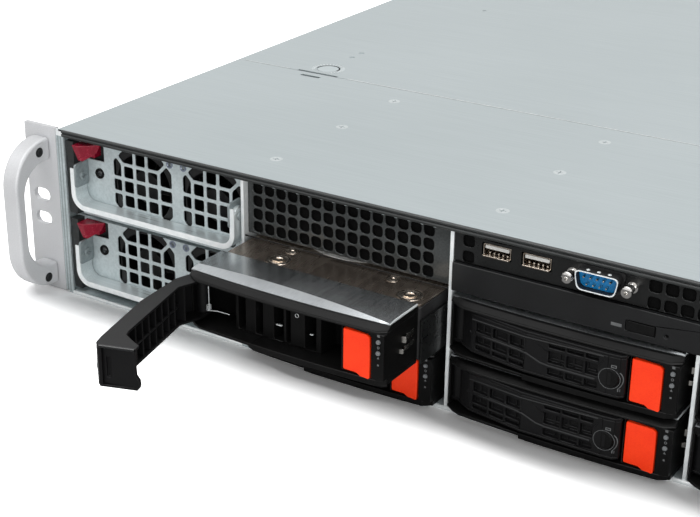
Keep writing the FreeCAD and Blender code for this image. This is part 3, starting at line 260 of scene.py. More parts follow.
# Keeps the part of an outline where a * x + b * z >= c
def clipped(points, a, b, c):
    kept = []
    for i, p in enumerate(points):
        q = points[(i + 1) % len(points)]
        dp = a * p[0] + b * p[1] - c
        dq = a * q[0] + b * q[1] - c
        if dp >= 0:
            kept.append(p)
        if dp * dq < 0:
            t = dp / (dp - dq)
            kept.append((p[0] + (q[0] - p[0]) * t, p[1] + (q[1] - p[1]) * t))
    return kept


# Solids, each a list of points and a list of faces
def laid(axis, point, height):
    a, b = point
    if axis == "X":
        return (height, a, b)
    if axis == "Y":
        return (a, height, b)
    return (a, b, height)


# Skin over rings of points that follow each other, with both ends closed
def skinned(verts, count):
    last = len(verts) - count
    faces = [tuple(range(count)), tuple(range(len(verts) - 1, last - 1, -1))]
    for start in range(0, last, count):
        for i in range(count):
            j = (i + 1) % count
            faces.append((start + i, start + j, start + count + j, start + count + i))
    return verts, faces


def prism(points, axis, low, high):
    return skinned([laid(axis, p, h) for h in (low, high) for p in points], len(points))


def block(x0, x1, y0, y1, z0, z1):
    return prism(rect(x0, x1, y0, y1), "Z", z0, z1)


# Triangles that fill a flat outline round its holes, numbered through the loops in order
def filled(loops):
    flat = bmesh.new()
    for loop in loops:
        ring = [flat.verts.new((a, b, 0)) for a, b in loop]
        for i in range(len(ring)):
            flat.edges.new((ring[i - 1], ring[i]))
    flat.verts.index_update()
    bmesh.ops.triangle_fill(flat, edges=flat.edges[:], use_beauty=True)
    faces = [tuple(v.index for v in f.verts) for f in flat.faces]
    flat.free()
    return faces


def walls(loops, near, far):
    faces = []
    start = 0
    for loop in loops:
        n = len(loop)
        faces += [(near + start + i, near + start + (i + 1) % n, far + start + (i + 1) % n, far + start + i)
                  for i in range(n)]
        start += n
    return faces


# A plate with holes right through it
def pierced(outline, holes, axis, low, high):
    loops = [outline] + holes
    flat = [p for loop in loops for p in loop]
    caps = filled(loops)
    n = len(flat)
    verts = [laid(axis, p, h) for h in (low, high) for p in flat]
    faces = caps + [tuple(n + i for i in cap) for cap in caps] + walls(loops, 0, n)
    return verts, faces


# A block with pockets sunk into its face
def sunk(outline, pockets, axis, back, face, floor):
    loops = [outline] + pockets
    flat = [p for loop in loops for p in loop]
    n = len(flat)
    verts = [laid(axis, p, face) for p in flat]
    verts += [laid(axis, p, back) for p in outline]
    verts += [laid(axis, p, floor) for p in flat[len(outline):]]
    faces = filled(loops) + walls(loops, 0, n)
    start = n
    for loop in loops:
        faces.append(tuple(range(start, start + len(loop))))
        start += len(loop)
    return verts, faces


def lathe(profile, centre, axis, count=24):
    verts = []
    for radius, height in profile:
        for point in disc(0, 0, max(radius, 0.001), count):
            verts.append(tuple(p + c for p, c in zip(laid(axis, point, height), centre)))
    return skinned(verts, count)


def tube(path, radius, count=8):
    verts = []
    for i, point in enumerate(path):
        ahead = Vector(path[min(i + 1, len(path) - 1)]) - Vector(path[max(i - 1, 0)])
        ahead.normalize()
        aside = ahead.cross(Vector((0.31, 0.17, 0.94))).normalized()
        up = ahead.cross(aside)
        verts += [tuple(Vector(point) + (aside * a + up * b)) for a, b in disc(0, 0, radius, count)]
    return skinned(verts, count)


# Two outlines with as many points, joined from one height to another
def tapered(low, z0, high, z1):
    return skinned([(a, b, z0) for a, b in low] + [(a, b, z1) for a, b in high], len(low))


def flipped(shape):
    verts, faces = shape
    return [(-x, y, z) for x, y, z in verts], faces


def both(shapes):
    return shapes + [flipped(shape) for shape in shapes]


# Meshes and pieces
def build(name, shapes, material):
    work = bmesh.new()
    for verts, faces in shapes:
        made = [work.verts.new([c * MM for c in v]) for v in verts]
        for face in faces:
            work.faces.new([made[i] for i in face])
    bmesh.ops.recalc_face_normals(work, faces=work.faces[:])
    mesh = bpy.data.meshes.new(name)
    work.to_mesh(mesh)
    work.free()
    mesh.materials.append(material)
    mesh.shade_smooth()
    mesh.set_sharp_from_angle(angle=CREASE)
    return mesh


def put(mesh, name, body, slot, place=(0, 0, 0), turn=0.0, bevel=0.0, steps=2, nodes=()):
    piece = bpy.data.objects.new(name, mesh)
    bpy.context.scene.collection.objects.link(piece)
    piece.location = (place[0] * MM, (place[1] + FRONT) * MM, place[2] * MM)
    piece.rotation_euler = (0, 0, math.radians(-turn))
    if bevel:
        edges = piece.modifiers.new("edges", "BEVEL")
        edges.width = bevel * MM
        edges.segments = steps
        edges.limit_method = "ANGLE"
        edges.angle_limit = CREASE
        edges.use_clamp_overlap = False
        edges.harden_normals = True
    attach(piece, body)
    if nodes:
        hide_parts(*nodes)
    return piece


def make(name, shapes, material, slot, body="chassis", **more):
    return put(build(name, shapes, material), name, body, slot, **more)


# Parts that several bodies share: each row has the part's name, shapes, material, slot and bevel
def meshes(group, rows):
    return [(build(group + "_" + part, shapes, material), part, slot, bevel)
            for part, shapes, material, slot, bevel in rows]


# All the parts of one body. The first stands for the CAD's node
def put_parts(parts, body, place, turn=0.0):
    for mesh, part, slot, bevel in parts:
        nodes = [body] if part == parts[0][1] else []
        put(mesh, body + "_" + part, body, slot, place, turn, bevel=bevel, nodes=nodes)


# A node from the CAD keeps its shape and takes better materials. A rule picks one by each solid's box
def dress(node, materials, rule=None):
    mesh = frame["nodes"][node].data
    mesh.materials.clear()
    for material in materials:
        mesh.materials.append(material)
    if rule is None:
        for face in mesh.polygons:
            face.material_index = 0
        return
    same = {}
    owner = list(range(len(mesh.vertices)))

    def root(i):
        while owner[i] != i:
            owner[i] = owner[owner[i]]
            i = owner[i]
        return i

    for v in mesh.vertices:
        key = tuple(round(c * 1e5) for c in v.co)
        owner[v.index] = same.setdefault(key, v.index)
    for face in mesh.polygons:
        first = root(face.vertices[0])
        for i in face.vertices[1:]:
            owner[root(i)] = first
    boxes = {}
    for v in mesh.vertices:
        p = (v.co.x / MM, v.co.y / MM - FRONT, v.co.z / MM)
        low, high = boxes.setdefault(root(v.index), ([9e9] * 3, [-9e9] * 3))
        for k in range(3):
            low[k] = min(low[k], p[k])
            high[k] = max(high[k], p[k])
    for face in mesh.polygons:
        low, high = boxes[root(face.vertices[0])]
        face.material_index = rule(low, high)


# Rules for nodes of several materials: each gives the number of the material for one solid's box
def board_part(low, high):
    width = high[0] - low[0]
    if width > 200 or width < 2:
        return 0
    if high[2] - low[2] < 8 and width > 20:
        return 1
    return 3 if high[1] > 700 else 2


def rear_part(low, high):
    if high[1] > 723.5:
        return 1
    return 2 if 1.5 < high[1] - low[1] < 10 else 0


def control_part(low, high):
    width = high[0] - low[0]
    if width > 50:
        return 0
    return 1 if width > 20 else 2


def fan_part(low, high):
    return 0 if high[1] - low[1] > 20 and high[2] - low[2] > 20 else 1


# Sheet metal of the chassis and what is inside it
for name in ("chassis_pan", "optical_drive"):
    dress(name, [zinc])
# The drive cage is near-white all over: painted highlight for the bright front edges of its dividers
dress("drive_cage", [bright_zinc_and_highlight])
for name in ("front_cover", "lid_tab_left", "lid_tab_right"):
    dress(name, [cover_zinc])
dress("top_lid", [cover_zinc, nickel], lambda low, high: 1 if high[0] - low[0] < 8 else 0)
dress("rack_ears", [satin_alu])
dress("screws", [cover_screw, dull_zinc_and_shade], lambda low, high: 0 if high[2] > 86 else 1)
dress("fan_wall", [fan_plastic, zinc], fan_part)
for i in (1, 2, 3):
    dress("fan_rotor_%d" % i, [fan_plastic])
for row in SUPPLIES:
    for side in ("left", "right"):
        dress("supply_rotor_%s_%s" % (row, side), [fan_plastic])
dress("drive_backplane", [laminate, black_plastic], lambda low, high: 1 if high[0] - low[0] < 50 else 0)
dress("motherboard", [laminate, socket_plastic, fan_plastic, nickel], board_part)
dress("heatsinks", [fin_alu])
dress("rear_panel", [zinc, fan_plastic, nickel], rear_part)
dress("control_panel", [powder, laminate, clear_pipe], control_part)
dress("power_button", [bezel_grey])

# Dark lip along the top front edge: two beads with a groove between them
lip = [(0, 84.6), (-0.8, 84.6), (-1.15, 84.9), (-1.2, 85.6), (-0.9, 86.1), (-0.5, 86.2), (-0.5, 86.5),
       (-0.9, 86.6), (-1.2, 87.0), (-1.1, 87.5), (-0.7, 87.85), (0, 87.9)]
lip_end = 215.7
make("lip", [prism(lip, "X", -lip_end, lip_end)], lip_paint_and_gap_shade, "black_steel", nodes=["front_lip"])
# Near-white caps on the flange tops under the lip's ends: painted highlight
cap = block(-220.4, -lip_end, 0, 1, 84.4, 87.9)
make("flange_caps", both([cap]), bright_zinc_and_highlight, "zinc_steel", bevel=0.2)
# Darker strips down each flange where it folds: painted shade in the bends
folds = [block(side * x - 0.2, side * x + 0.2, -0.12, 0.05, 1.0, 84.2) for side in (-1, 1)
         for x in (219.1, 217.3)]
make("flange_folds", folds, dull_zinc_and_shade, "zinc_steel", bevel=0.05)
# The pan's front hem is near-white: painted highlight along that edge
hem = [(-0.7, 0.05), (0.3, 0.05), (0.3, 1.8), (-0.2, 1.7), (-0.6, 1.2)]
make("pan_front_edge", [prism(hem, "X", -215.4, -108.4), prism(hem, "X", -8, 215.4)], bright_zinc_and_highlight,
     "zinc_steel")
trim_ends = ((-105.5, 0.2), (13.0, 108.3), (110.6, 215.0))
trims = [block(a, b, -0.25, 0, 57.5, 58.3) for a, b in trim_ends]
make("shelf_trim", trims, powder, "black_steel", bevel=0.1)

# A near-white strip along the lid's seam is a painted highlight on its fold. Each press tab sits in a gap
# ringed by pressed ribs, and a thin black ring laid on the lid over the gap is painted shade
lid_under, tab_y, rib_count = 87.9, 160.5, 23
for centre, name in ((-165.4, "left"), (165.4, "right")):
    gap = arc(centre, tab_y, 6.7, -10, 190, 20) + arc(centre, tab_y, 5.9, 190, -10, 20)
    make("lid_tab_gap_" + name, [prism(gap, "Z", lid_under, 88.04)], foam_and_painted_shade, "black_plastic", "top_lid")
    ribs = []
    for i in range(rib_count):
        turn = math.radians(-45 + 270 * i / (rib_count - 1))
        a, b = math.cos(turn), math.sin(turn)
        corners = rect(7.3, 9.3, -0.2, 0.2)
        rib = [(centre + a * r - b * w, tab_y + b * r + a * w) for r, w in corners]
        ribs.append(prism(rib, "Z", lid_under, 88.2))
    make("lid_tab_ribs_" + name, ribs, bright_zinc_and_highlight, "cover_steel", "top_lid")
seam_ends = ((-217.5, -184.0), (-146.0, 146.0), (184.0, 217.5))
seam = [block(a, b, 149.6, 150.1, lid_under, 88.08) for a, b in seam_ends]
make("lid_seam", seam, bright_zinc_and_highlight, "cover_steel", "top_lid")


# Handles: a broad bar that bends back to two feet, with counterbored screws in the feet's inner sides
def handle_outline():
    top = [(0, 82.6)] + arc(-3, 60.6, 22, 90, 180, 14)
    low = arc(-3, 26.3, 22, 180, 270, 14) + [(0, 4.3)]
    inner_low = [(0, 16.1)] + arc(-4, 31.1, 15, 270, 180, 12)
    inner_top = arc(-4, 55.8, 15, 180, 90, 12) + [(0, 70.8)]
    return top + low + inner_low + inner_top


handle = prism(handle_outline(), "X", -235, -225)
feet = [(0, -7.5, z) for z in (9.5, 76.6)]
cup = [(3.3, -225.2), (3.3, -224.9), (2.8, -224.8), (2.5, -224.98)]
cups = [lathe(cup, foot, "X") for foot in feet]
head = [(2.45, -225.1), (2.45, -224.9), (1.3, -224.85), (1.1, -224.97), (0.05, -224.97)]
heads = [lathe(head, foot, "X") for foot in feet]
make("handle_left", [handle], satin_alu, "satin_aluminium", bevel=1.6, steps=4, nodes=["ear_handles"])
make("handle_right", [flipped(handle)], satin_alu, "satin_aluminium", bevel=1.6, steps=4)
make("handle_cups", both(cups), satin_alu, "satin_aluminium")
make("handle_screw_heads", both(heads), drive_case_and_dark_reflection, "screw_steel")


# Perforated panel above the first drive column
def vent_hole(x, z, corner):
    half = 2.65
    return rounded(rect(x - half, x + half, z - half, z + half), corner)


vent_pitch, vent_z, panel_low, panel_top = 6.35, 71.3, 58.2, 84.4
holes = [vent_hole(-100.5 + i * vent_pitch, vent_z + (j - 1.5) * 6.3, 2.1) for i in range(15)
         for j in range(4)]
grid = [pierced(rect(-106.0, 0.2, panel_low, panel_top), holes, "Y", 3, 4)]
grid += [block(x, x + 1, 4, 17, panel_low, panel_top) for x in (-106, -0.8)]
make("vent_grid", grid, vent_paint, "black_steel", bevel=0.3, nodes=["vent_panel"])
filter_face = sunk(rect(-104.8, -1.0, 58.4, 84.2), [disc(-52.9, vent_z, 3, 12)], "Y", 15, 4.7, 6)
make("vent_filter", [filter_face], foam_and_painted_shade, "black_plastic")
tick_places = [-103.7 + i * vent_pitch for i in range(1, 16)]
ticks = [block(x - 0.6, x + 0.6, 2.2, 3.2, 83.0, 83.7) for x in tick_places]
make("vent_grid_tabs", ticks, zinc, "zinc_steel", bevel=0.1)

# Port strip
serial_x = 67.7
serial_z = 79.2


def d_outline(grow):
    top = 9.4 + grow
    low = top - 1.5
    z0 = serial_z - 4.1 - grow
    z1 = serial_z + 4.1 + grow
    return rounded([(serial_x - top, z1), (serial_x - low, z0), (serial_x + low, z0),
                    (serial_x + top, z1)], 2.4, 5)


usb_lefts = (15.5, 33.4)
usb_z = 79.65
post_places = (55.8, 80.8)
strip_low = 71.7
strip_holes = [d_outline(0.4)]
for x in usb_lefts:
    strip_holes.append(rounded(rect(x - 0.5, x + 13.0, usb_z - 3.0, usb_z + 3.0), 0.6))
for x in post_places:
    strip_holes.append(disc(x, serial_z, 1.9, 16))
for x in [9.0] + [89.8 + 6.7 * i for i in range(6)]:
    strip_holes += [vent_hole(x, z, 1.7) for z in (74.45, 81.65)]
strip = [pierced(rect(2.3, 130.9, strip_low, panel_top), strip_holes, "Y", 0, 1)]
strip += [block(x, x + 1, 1, 16, strip_low, panel_top) for x in (2.3, 129.9)]
backing = [block(a, b, 1.4, 2.9, 72.0, 84.2) for a, b in ((4.0, 13.8), (86.4, 129.6))]
make("port_strip_filter", backing, foam_and_painted_shade, "black_plastic")
make("port_strip", strip, powder, "black_steel", bevel=0.2, nodes=["io_panel"])

shells = []
tongues = []
contacts = []
for x in usb_lefts:
    outer = rounded(rect(x, x + 12.5, usb_z - 2.55, usb_z + 2.55), 0.6)
    inner = rounded(rect(x + 0.35, x + 12.15, usb_z - 2.2, usb_z + 2.2), 0.4)
    shells.append(pierced(outer, [inner], "Y", 0.5, 14))
    shells.append(block(x + 0.4, x + 12.1, -0.7, 3, usb_z - 2.75, usb_z - 2.25))
    tongues.append(block(x + 0.9, x + 11.6, 0.5, 13, usb_z + 0.5, usb_z + 2.0))
    contacts += [block(x + 2.1 + 2.4 * i, x + 3.3 + 2.4 * i, 1.2, 9, usb_z + 0.2, usb_z + 0.5)
                 for i in range(4)]
    contacts += [block(x + 2.2 + 2.0 * i, x + 2.8 + 2.0 * i, 1.6, 2.4, usb_z - 1.9, usb_z - 1.2)
                 for i in range(5)]
make("usb_shells", shells, copper_shell, "port_metal", bevel=0.1, nodes=["front_ports"])
make("usb_tongues", tongues, pale_plastic, "port_metal", bevel=0.15)
make("usb_contacts", contacts, nickel, "port_metal")
# The connector's shell: a black sleeve, whose dark sides are a painted reflection of dark surroundings, and
# a near-white front rim with dimples, a painted highlight
sleeve = [pierced(d_outline(-0.05), [d_outline(-0.5)], "Y", -5.3, 1.5),
          pierced(d_outline(0.9), [d_outline(-0.4)], "Y", -0.5, -0.02)]
make("serial_sleeve", sleeve, drive_case_and_dark_reflection, "port_metal", bevel=0.15)
d_shell = [pierced(d_outline(0.0), [d_outline(-0.4)], "Y", -5.8, -5.2)]
for x in (serial_x - 4.5, serial_x, serial_x + 4.5):
    d_shell.append(lathe([(0.9, 0), (0.7, 0.25), (0.01, 0.4)], (x, -3.2, serial_z + 4.05), "Z", 12))
make("serial_rim", d_shell, bright_zinc_and_highlight, "port_metal", bevel=0.15)
make("serial_insert", [prism(d_outline(-0.6), "Y", -2.6, 1.0)], blue_plastic, "port_metal")
pins = []
for count, dz in ((5, 1.42), (4, -1.42)):
    for i in range(count):
        x = serial_x + (i - (count - 1) / 2) * 2.77
        pins.append(lathe([(0.5, -2.6), (0.5, -4.8), (0.3, -5.2)], (x, 0, serial_z + dz), "Y", 10))
make("serial_pins", pins, nickel, "port_metal")
post = [(2.4, -0.02), (2.4, -0.9), (1.8, -1.0), (1.8, -5.0), (2.3, -5.4), (2.5, -6.2), (2.2, -6.9),
        (1.5, -7.2), (0.8, -7.2), (0.7, -5.5), (0.1, -5.5)]
make("jack_posts", [lathe(post, (x, 0, serial_z), "Y", 24) for x in post_places], chrome, "screw_steel")
board = [block(9.5, 88.3, 3, 40, 75.7, 76.9), block(52.8, 83.8, 2, 3, 71.9, 84.2)]
make("port_board", board, laminate, "board_laminate")

# Optical drive: the front has a lamp mark, the eject button in its own frame and the emergency hole
pinhole_x, pinhole_z = 96.7, 62.8
button_frame = rounded(rect(79.8, 92.2, 61.2, 65.8), 0.5)
bezel_holes = [button_frame, disc(pinhole_x, pinhole_z, 0.9, 14)]
bezel_face = sunk(rect(2.6, 130.6, 58.6, 71.4), bezel_holes, "Y", 3.0, -2.0, -1.2)
make("optical_bezel", [bezel_face], bezel_grey, "black_plastic", "optical_tray", bevel=0.35,
     nodes=["optical_tray"])
disc_x, disc_y, disc_radius = 66.6, 65.5, 60.2
tray_left, tray_right, tray_front, tray_end = 5.0, 128.2, 3.0, 123.0
tray_low, well_floor, well_step, tray_top = 60, 65.5, 66.2, 68.2
opening = math.degrees(math.asin((tray_end - disc_y) / disc_radius))
rim = [(tray_right, tray_end), (tray_right, tray_front), (tray_left, tray_front), (tray_left, tray_end)]
rim += arc(disc_x, disc_y, disc_radius, 180 - opening, 360 + opening, 60)
small_well = disc(disc_x, disc_y, 40.4, 48)
tray_outline = rect(tray_left, tray_right, tray_front, tray_end)
collar = [(15, well_floor), (14.6, 65.9), (9.4, 65.9), (9.0, 66.4), (7.6, 66.5)]
hub = [(7.5, well_floor), (7.4, 67.4), (6.8, 67.7), (5.6, 67.7), (5.4, 67.3), (2.4, 67.3), (2.2, 67.7),
       (0.1, 67.7)]
tray_base = [sunk(tray_outline, [small_well], "Z", tray_low, well_step, well_floor),
             prism(rim, "Z", well_step, tray_top), lathe(collar, (disc_x, disc_y, 0), "Z", 40)]
make("optical_tray_base", tray_base, black_plastic, "black_plastic", "optical_tray")
make("optical_spindle", [lathe(hub, (disc_x, disc_y, 0), "Z", 40)], dull_zinc_and_shade, "port_metal", "optical_tray")
sled = rounded([(disc_x + a, disc_y + b) for a, b in ((9, 20), (20, 9), (34, 21), (21, 34))], 1.5)
make("optical_sled", [prism(sled, "Z", well_floor, 65.9)], foam_and_painted_shade, "black_plastic", "optical_tray", bevel=0.1)
lens = [(3.0, 65.9), (2.8, 66.1), (1.8, 66.2), (0.1, 66.4)]
make("optical_lens", [lathe(lens, (disc_x + 19, disc_y + 19, 0), "Z", 24)], clear_pipe, "port_metal",
     "optical_tray")
lamp_mark = block(73.9, 78.4, -2.06, -1.9, 61.9, 63.3)
make("optical_lamp", [lamp_mark], ink_grey, "black_plastic", "optical_tray", bevel=0.05)
# A black disc on the floor of the shallow emergency hole: painted shade in the hole
pinhole = prism(disc(pinhole_x, pinhole_z, 0.85, 14), "Y", -1.25, -1.15)
make("optical_pinhole", [pinhole], foam_and_painted_shade, "black_plastic", "optical_tray")
eject = prism(rounded(rect(80.1, 91.9, 61.5, 65.5), 0.4), "Y", -1.2, -2.25)
make("optical_eject", [eject], black_plastic, "black_plastic", "eject_button", bevel=0.15,
     nodes=["eject_button"])


# Power supplies: square cells in the middle of a fan grille, and cells cut by its octagon round them
def grille_cells(xc, zc):
    half = 18.0
    cut = half - 7.0
    frame_line = [(-half, -cut), (-cut, -half), (cut, -half), (half, -cut), (half, cut), (cut, half),
                  (-cut, half), (-half, cut)]
    lines = [-1.1 + 7.5 * k for k in (-1.5, -0.5, 0.5, 1.5)]
    strut = 0.85
    slant = strut * math.sqrt(2)
    cells = []
    for i in range(3):
        for j in range(3):
            cells.append(rect(lines[i] + strut, lines[i + 1] - strut, lines[j] + strut,
                              lines[j + 1] - strut))
    for nx, nz in ((-1, 0), (1, 0), (0, -1), (0, 1)):
        tx, tz = abs(nz), abs(nx)
        edge = max(lines[0] * (nx + nz), lines[3] * (nx + nz))
        ring = clipped(frame_line, nx, nz, edge + strut)
        starts = [(nx + tx, nz + tz, edge + lines[0] + slant), (tx, tz, lines[1] + strut),
                  (tx, tz, lines[2] + strut)]
        ends = [(-tx, -tz, strut - lines[1]), (-tx, -tz, strut - lines[2]),
                (nx - tx, nz - tz, edge - lines[3] + slant)]
        for start, end in zip(starts, ends):
            cells.append(clipped(clipped(ring, *start), *end))
    return [[(xc + a, zc + b) for a, b in rounded(cell, 1.0)] for cell in cells]


# A strap bent along a path, with its half width given at each point of the path
def strap(path, inward, widths, thickness, y):
    verts = []
    for (x, z), (nx, nz), w in zip(path, inward, widths):
        xi = x + nx * thickness
        zi = z + nz * thickness
        verts += [(x, y - w, z), (x, y + w, z), (xi, y + w, zi), (xi, y - w, zi)]
    return skinned(verts, 4)


# The supply's handle: rounded ends at the pivots, and a thin near-white strip along its front edge, a
# painted highlight
def bail():
    left, right, low, corner, half = -208.2, -108.6, 6.2, 8.0, 4.5
    turns = [math.radians(a) for a in (88, 75, 60, 45, 30, 15, 0)]
    path = [(left, pivot_z + half * math.sin(t)) for t in turns]
    widths = [half * math.cos(t) for t in turns]
    inward = [(1, 0)] * len(path)
    bend = arc(left + corner, low + corner, corner, 180, 270)
    path += bend
    inward += [((left + corner - x) / corner, (low + corner - z) / corner) for x, z in bend]
    widths += [half] * len(bend)
    path += [(left + right - x, z) for x, z in reversed(path)]
    inward += [(-a, b) for a, b in reversed(inward)]
    widths += list(reversed(widths))
    edge = strap(path, inward, [min(w, 0.3) for w in widths], 2.6, -4.2)
    return strap(path, inward, widths, 2.5, 0.3), edge


def cross_head(x, y, z, radius):
    cross = [(-1.4, -0.3), (-0.3, -0.3), (-0.3, -1.4), (0.3, -1.4), (0.3, -0.3), (1.4, -0.3), (1.4, 0.3),
             (0.3, 0.3), (0.3, 1.4), (-0.3, 1.4), (-0.3, 0.3), (-1.4, 0.3)]
    scale = radius / 2.2
    slots = [(y + a * scale, z + b * scale) for a, b in cross]
    return sunk(disc(y, z, radius, 20), [slots], "X", x - 1.0, x, x - 0.6)


left, right, top, depth, sheet = -215.0, -108.6, 39.6, 260, 0.8
face, inside, fan_z, pivot_y, pivot_z = 5, 5.8, 21.3, 0.2, 22.8
grille_centres = (-170.3, -127.5)
lamp_at = (-197.3, face, 23.7)
face_holes = [cell for xc in grille_centres for cell in grille_cells(xc, fan_z)]
face_holes += [rect(-208.6, -194.2, 30.2, 38.6), disc(lamp_at[0], lamp_at[2], 2.6, 20)]
case = [pierced(rect(-209.6, right, 0, top), face_holes, "Y", face, inside)]
case += [block(x, x + sheet, inside, depth, 0, top) for x in (left, right - sheet)]
case += [block(left + sheet, right - sheet, inside, depth, z, z + sheet) for z in (0, top - sheet)]
case.append(block(left + sheet, right - sheet, depth - sheet, depth, sheet, top - sheet))
# A guide fills the gap left of the latch, coloured dark grey as painted shade for that gap
guide = [(-214.9, 1.0), (-210.2, 1.0), (-209.7, 5.0), (-209.7, 5.85), (-194.0, 12), (-194.0, 14),
         (-214.1, 14), (-214.1, 5.75), (-214.9, 5.75)]
tab_side = rounded([(-4.8, 17.4), (4.9, 17.4), (4.9, 30.0), (-4.8, 29.4)], 1.5)
tabs = [prism(tab_side, "X", x, x + 1.2) for x in (-205.6, -112.1)]
rivet_left = [(1.5, -206.2), (1.5, -208.3), (2.4, -208.35), (2.0, -209.0), (0.6, -209.3)]
rivet_right = [(1.5, -110.5), (1.5, -108.5), (2.4, -108.45), (2.0, -107.9)]
fixings = [cross_head(-203.5, pivot_y, pivot_z, 2.3)]
fixings += [lathe(rivet, (0, pivot_y, pivot_z), "X", 16) for rivet in (rivet_left, rivet_right)]
frames = []
frame_bolts = []
bolt = [(1.9, 0.1), (1.9, -0.25), (1.3, -0.35), (1.0, 0.0), (0.2, 0.0)]
for xc, toward in zip(grille_centres, (1, -1)):
    square = rounded(rect(xc - 17.4, xc + 17.4, fan_z - 17.4, fan_z + 17.4), 2)
    frames.append(pierced(square, [disc(xc, fan_z, 16.6, 48)], "Y", 5.9, 33.8))
    frame_bolts.append(lathe(bolt, (xc + toward * 17.3, face, 37.2), "Y", 16))
ring = [(2.6, 1), (2.6, -0.5), (2.0, -0.6), (1.7, -0.2), (1.6, 1)]
lens = [(1.6, 1), (1.6, -0.1), (1.2, -0.5), (0.5, -0.75), (0.05, -0.8)]
works = [block(-209, -114.6, 50, 256, 0.9, 2.4), block(-175, -150, 75, 115, 2.4, 34),
         block(-204, -190, 65, 225, 2.4, 30)]
plug_holes = [rect(-192 + 6 * i, -188 + 6 * i, 14, 18) for i in range(10)]
plug = sunk(rect(-193.8, -129.8, 12, 20), plug_holes, "Y", depth, 266, 262)
bail_strap, bail_edge = bail()
bail_mesh = build("supply_bail", [bail_strap], bail_zinc)
bail_highlight_mesh = build("supply_bail_edge", [bail_edge], bright_zinc_and_highlight)
wedge_top = [(-207.4, -3.4), (-203.2, -3.4), (-195.4, 4.7), (-207.4, 4.7)]
wedge_low = [(-206.2, -0.6), (-203.0, -0.6), (-198.0, 4.7), (-206.2, 4.7)]
wedge, wedge_faces = tapered(wedge_low, 30.2, wedge_top, 38.9)
wedge[2:4] = [(x, y, z + 3.6) for x, y, z in wedge[2:4]]
latch_shapes = [(wedge, wedge_faces), block(-206.0, -200.0, 4.7, 19, 31, 38)]
latch_mesh = build("supply_latch", latch_shapes, crimson_plastic)
supply_parts = meshes("supply", [
    ("case", case, zinc, "zinc_steel", 0.3),
    ("guide", [prism(guide, "Z", 0.9, 38.7)], lip_paint_and_gap_shade, "black_plastic", 0.0),
    ("tabs", tabs, dull_zinc_and_shade, "zinc_steel", 0.3),
    ("fixings", fixings, dull_zinc_and_shade, "screw_steel", 0.12),
    ("fan_frames", frames, fan_plastic, "fan_plastic", 0.5),
    ("fan_bolts", frame_bolts, blue_chromate, "screw_steel", 0.0),
    ("lamp_ring", [lathe(ring, lamp_at, "Y", 24)], black_plastic, "black_plastic", 0.0),
    ("lamp_lens", [lathe(lens, lamp_at, "Y", 24)], smoky_lens, "port_metal", 0.0),
    ("board", works, laminate, "board_laminate", 0.0),
    ("plug", [plug], black_plastic, "black_plastic", 0.0)])
for row, base in SUPPLIES.items():
    body, handle_body, latch_body = "supply_" + row, "supply_handle_" + row, "supply_latch_" + row
    at = (0, 0, base)
    put_parts(supply_parts, body, at)
    put(bail_mesh, body + "_bail", handle_body, "zinc_steel", at, bevel=0.4, steps=3, nodes=[handle_body])
    put(bail_highlight_mesh, body + "_bail_edge", handle_body, "zinc_steel", at, bevel=0.15)
    put(latch_mesh, body + "_latch_wedge", latch_body, "crimson_plastic", at, bevel=0.5, steps=3,
        nodes=[latch_body])


# Drive carriers, drawn from the column's left edge and the bay's floor
def bowed(x):
    return 2.0 * (1 - ((x - 52) / 51) ** 2)


button_outline = [(83.8, 3.6), (90.3, 3.6), (92.4, 2.1), (96.4, 1.6), (96.4, 21.1), (95.0, 22.1),
                  (83.8, 22.6)]
button_hole = [(83.3, 3.2), (90.1, 3.2), (92.3, 1.7), (96.9, 1.1), (96.9, 21.4), (95.2, 22.6), (83.3, 23.1)]
bezel_back, sill, brow_z, frame_left, step_x = 21, 2.7, 23.6, 82.7, 38
rim_low = [(1, bezel_back), (1, -2), (5, -5)] + [(x, -6.2 - bowed(x)) for x in range(9, 103, 6)]
rim_low += [(103, -3.5), (103, bezel_back)]
rim_mid = [(x, min(y + 0.4, bezel_back)) for x, y in rim_low]
rim_top = [(x, min(y + 3.2, bezel_back)) for x, y in rim_low]
sill_left = [p for p in rim_low if p[0] <= step_x] + [(step_x, -8.1), (step_x, bezel_back)]
sill_right = [(step_x, bezel_back), (step_x, -8.1)] + [p for p in rim_low if p[0] > step_x]
# The recess behind the lever has a ribbed wall, and contacts show in two of its slots. Their fronts, a ring
# on a rib and two ferrules are small metal parts, coloured near-white as painted glints
slot_places = ((25.5, 29.2), (34.7, 38.4), (44.3, 49.2), (50.6, 52.8), (60.2, 65.9))
contact_places = ((46.6, 1.5), (63.2, 0.7))
recess_back, wall_face, slot_floor, contact_back = 12, 0.4, 9, 1.6
slots = [rounded(rect(a, b, 3.4, 22.6), 0.6) for a, b in slot_places]
button_well = rounded(button_hole, 0.5)
bezel = [prism(sill_left, "Z", 1.4, sill), prism(sill_right, "Z", 0.0, sill),
         tapered(rim_low, brow_z, rim_mid, 24.6), tapered(rim_mid, 24.6, rim_top, 26.35),
         sunk(rect(frame_left, 103, sill, brow_z), [button_well], "Y", bezel_back, -6.2, -1.0),
         block(1, frame_left, recess_back, bezel_back, sill, brow_z),
         sunk(rect(24, 68.4, sill, brow_z), slots, "Y", recess_back, wall_face, slot_floor),
         block(1, 2, -1.5, recess_back, sill, brow_z)]
bezel += [block(x - half, x + half, contact_back, slot_floor, 10.1, 10.5) for x, half in contact_places]


# Front edge of the top plate, and the line where its flat begins to slope
def plate_front(x):
    return -1.2 - bowed(x)


def slope_back(x):
    t = (x - plate_left) / plate_width
    return plate_front(x) + 5.0 + 16.0 * t - 21.0 * t * t


def plate_back(x):
    return bezel_back


def sheet_between(front, back, low, high, thick):
    verts = []
    for i in range(29):
        x = plate_left + plate_width * i / 28
        verts += [(x, front(x), low), (x, back(x), high), (x, back(x), high - thick),
                  (x, front(x), low - thick)]
    return skinned(verts, 4)


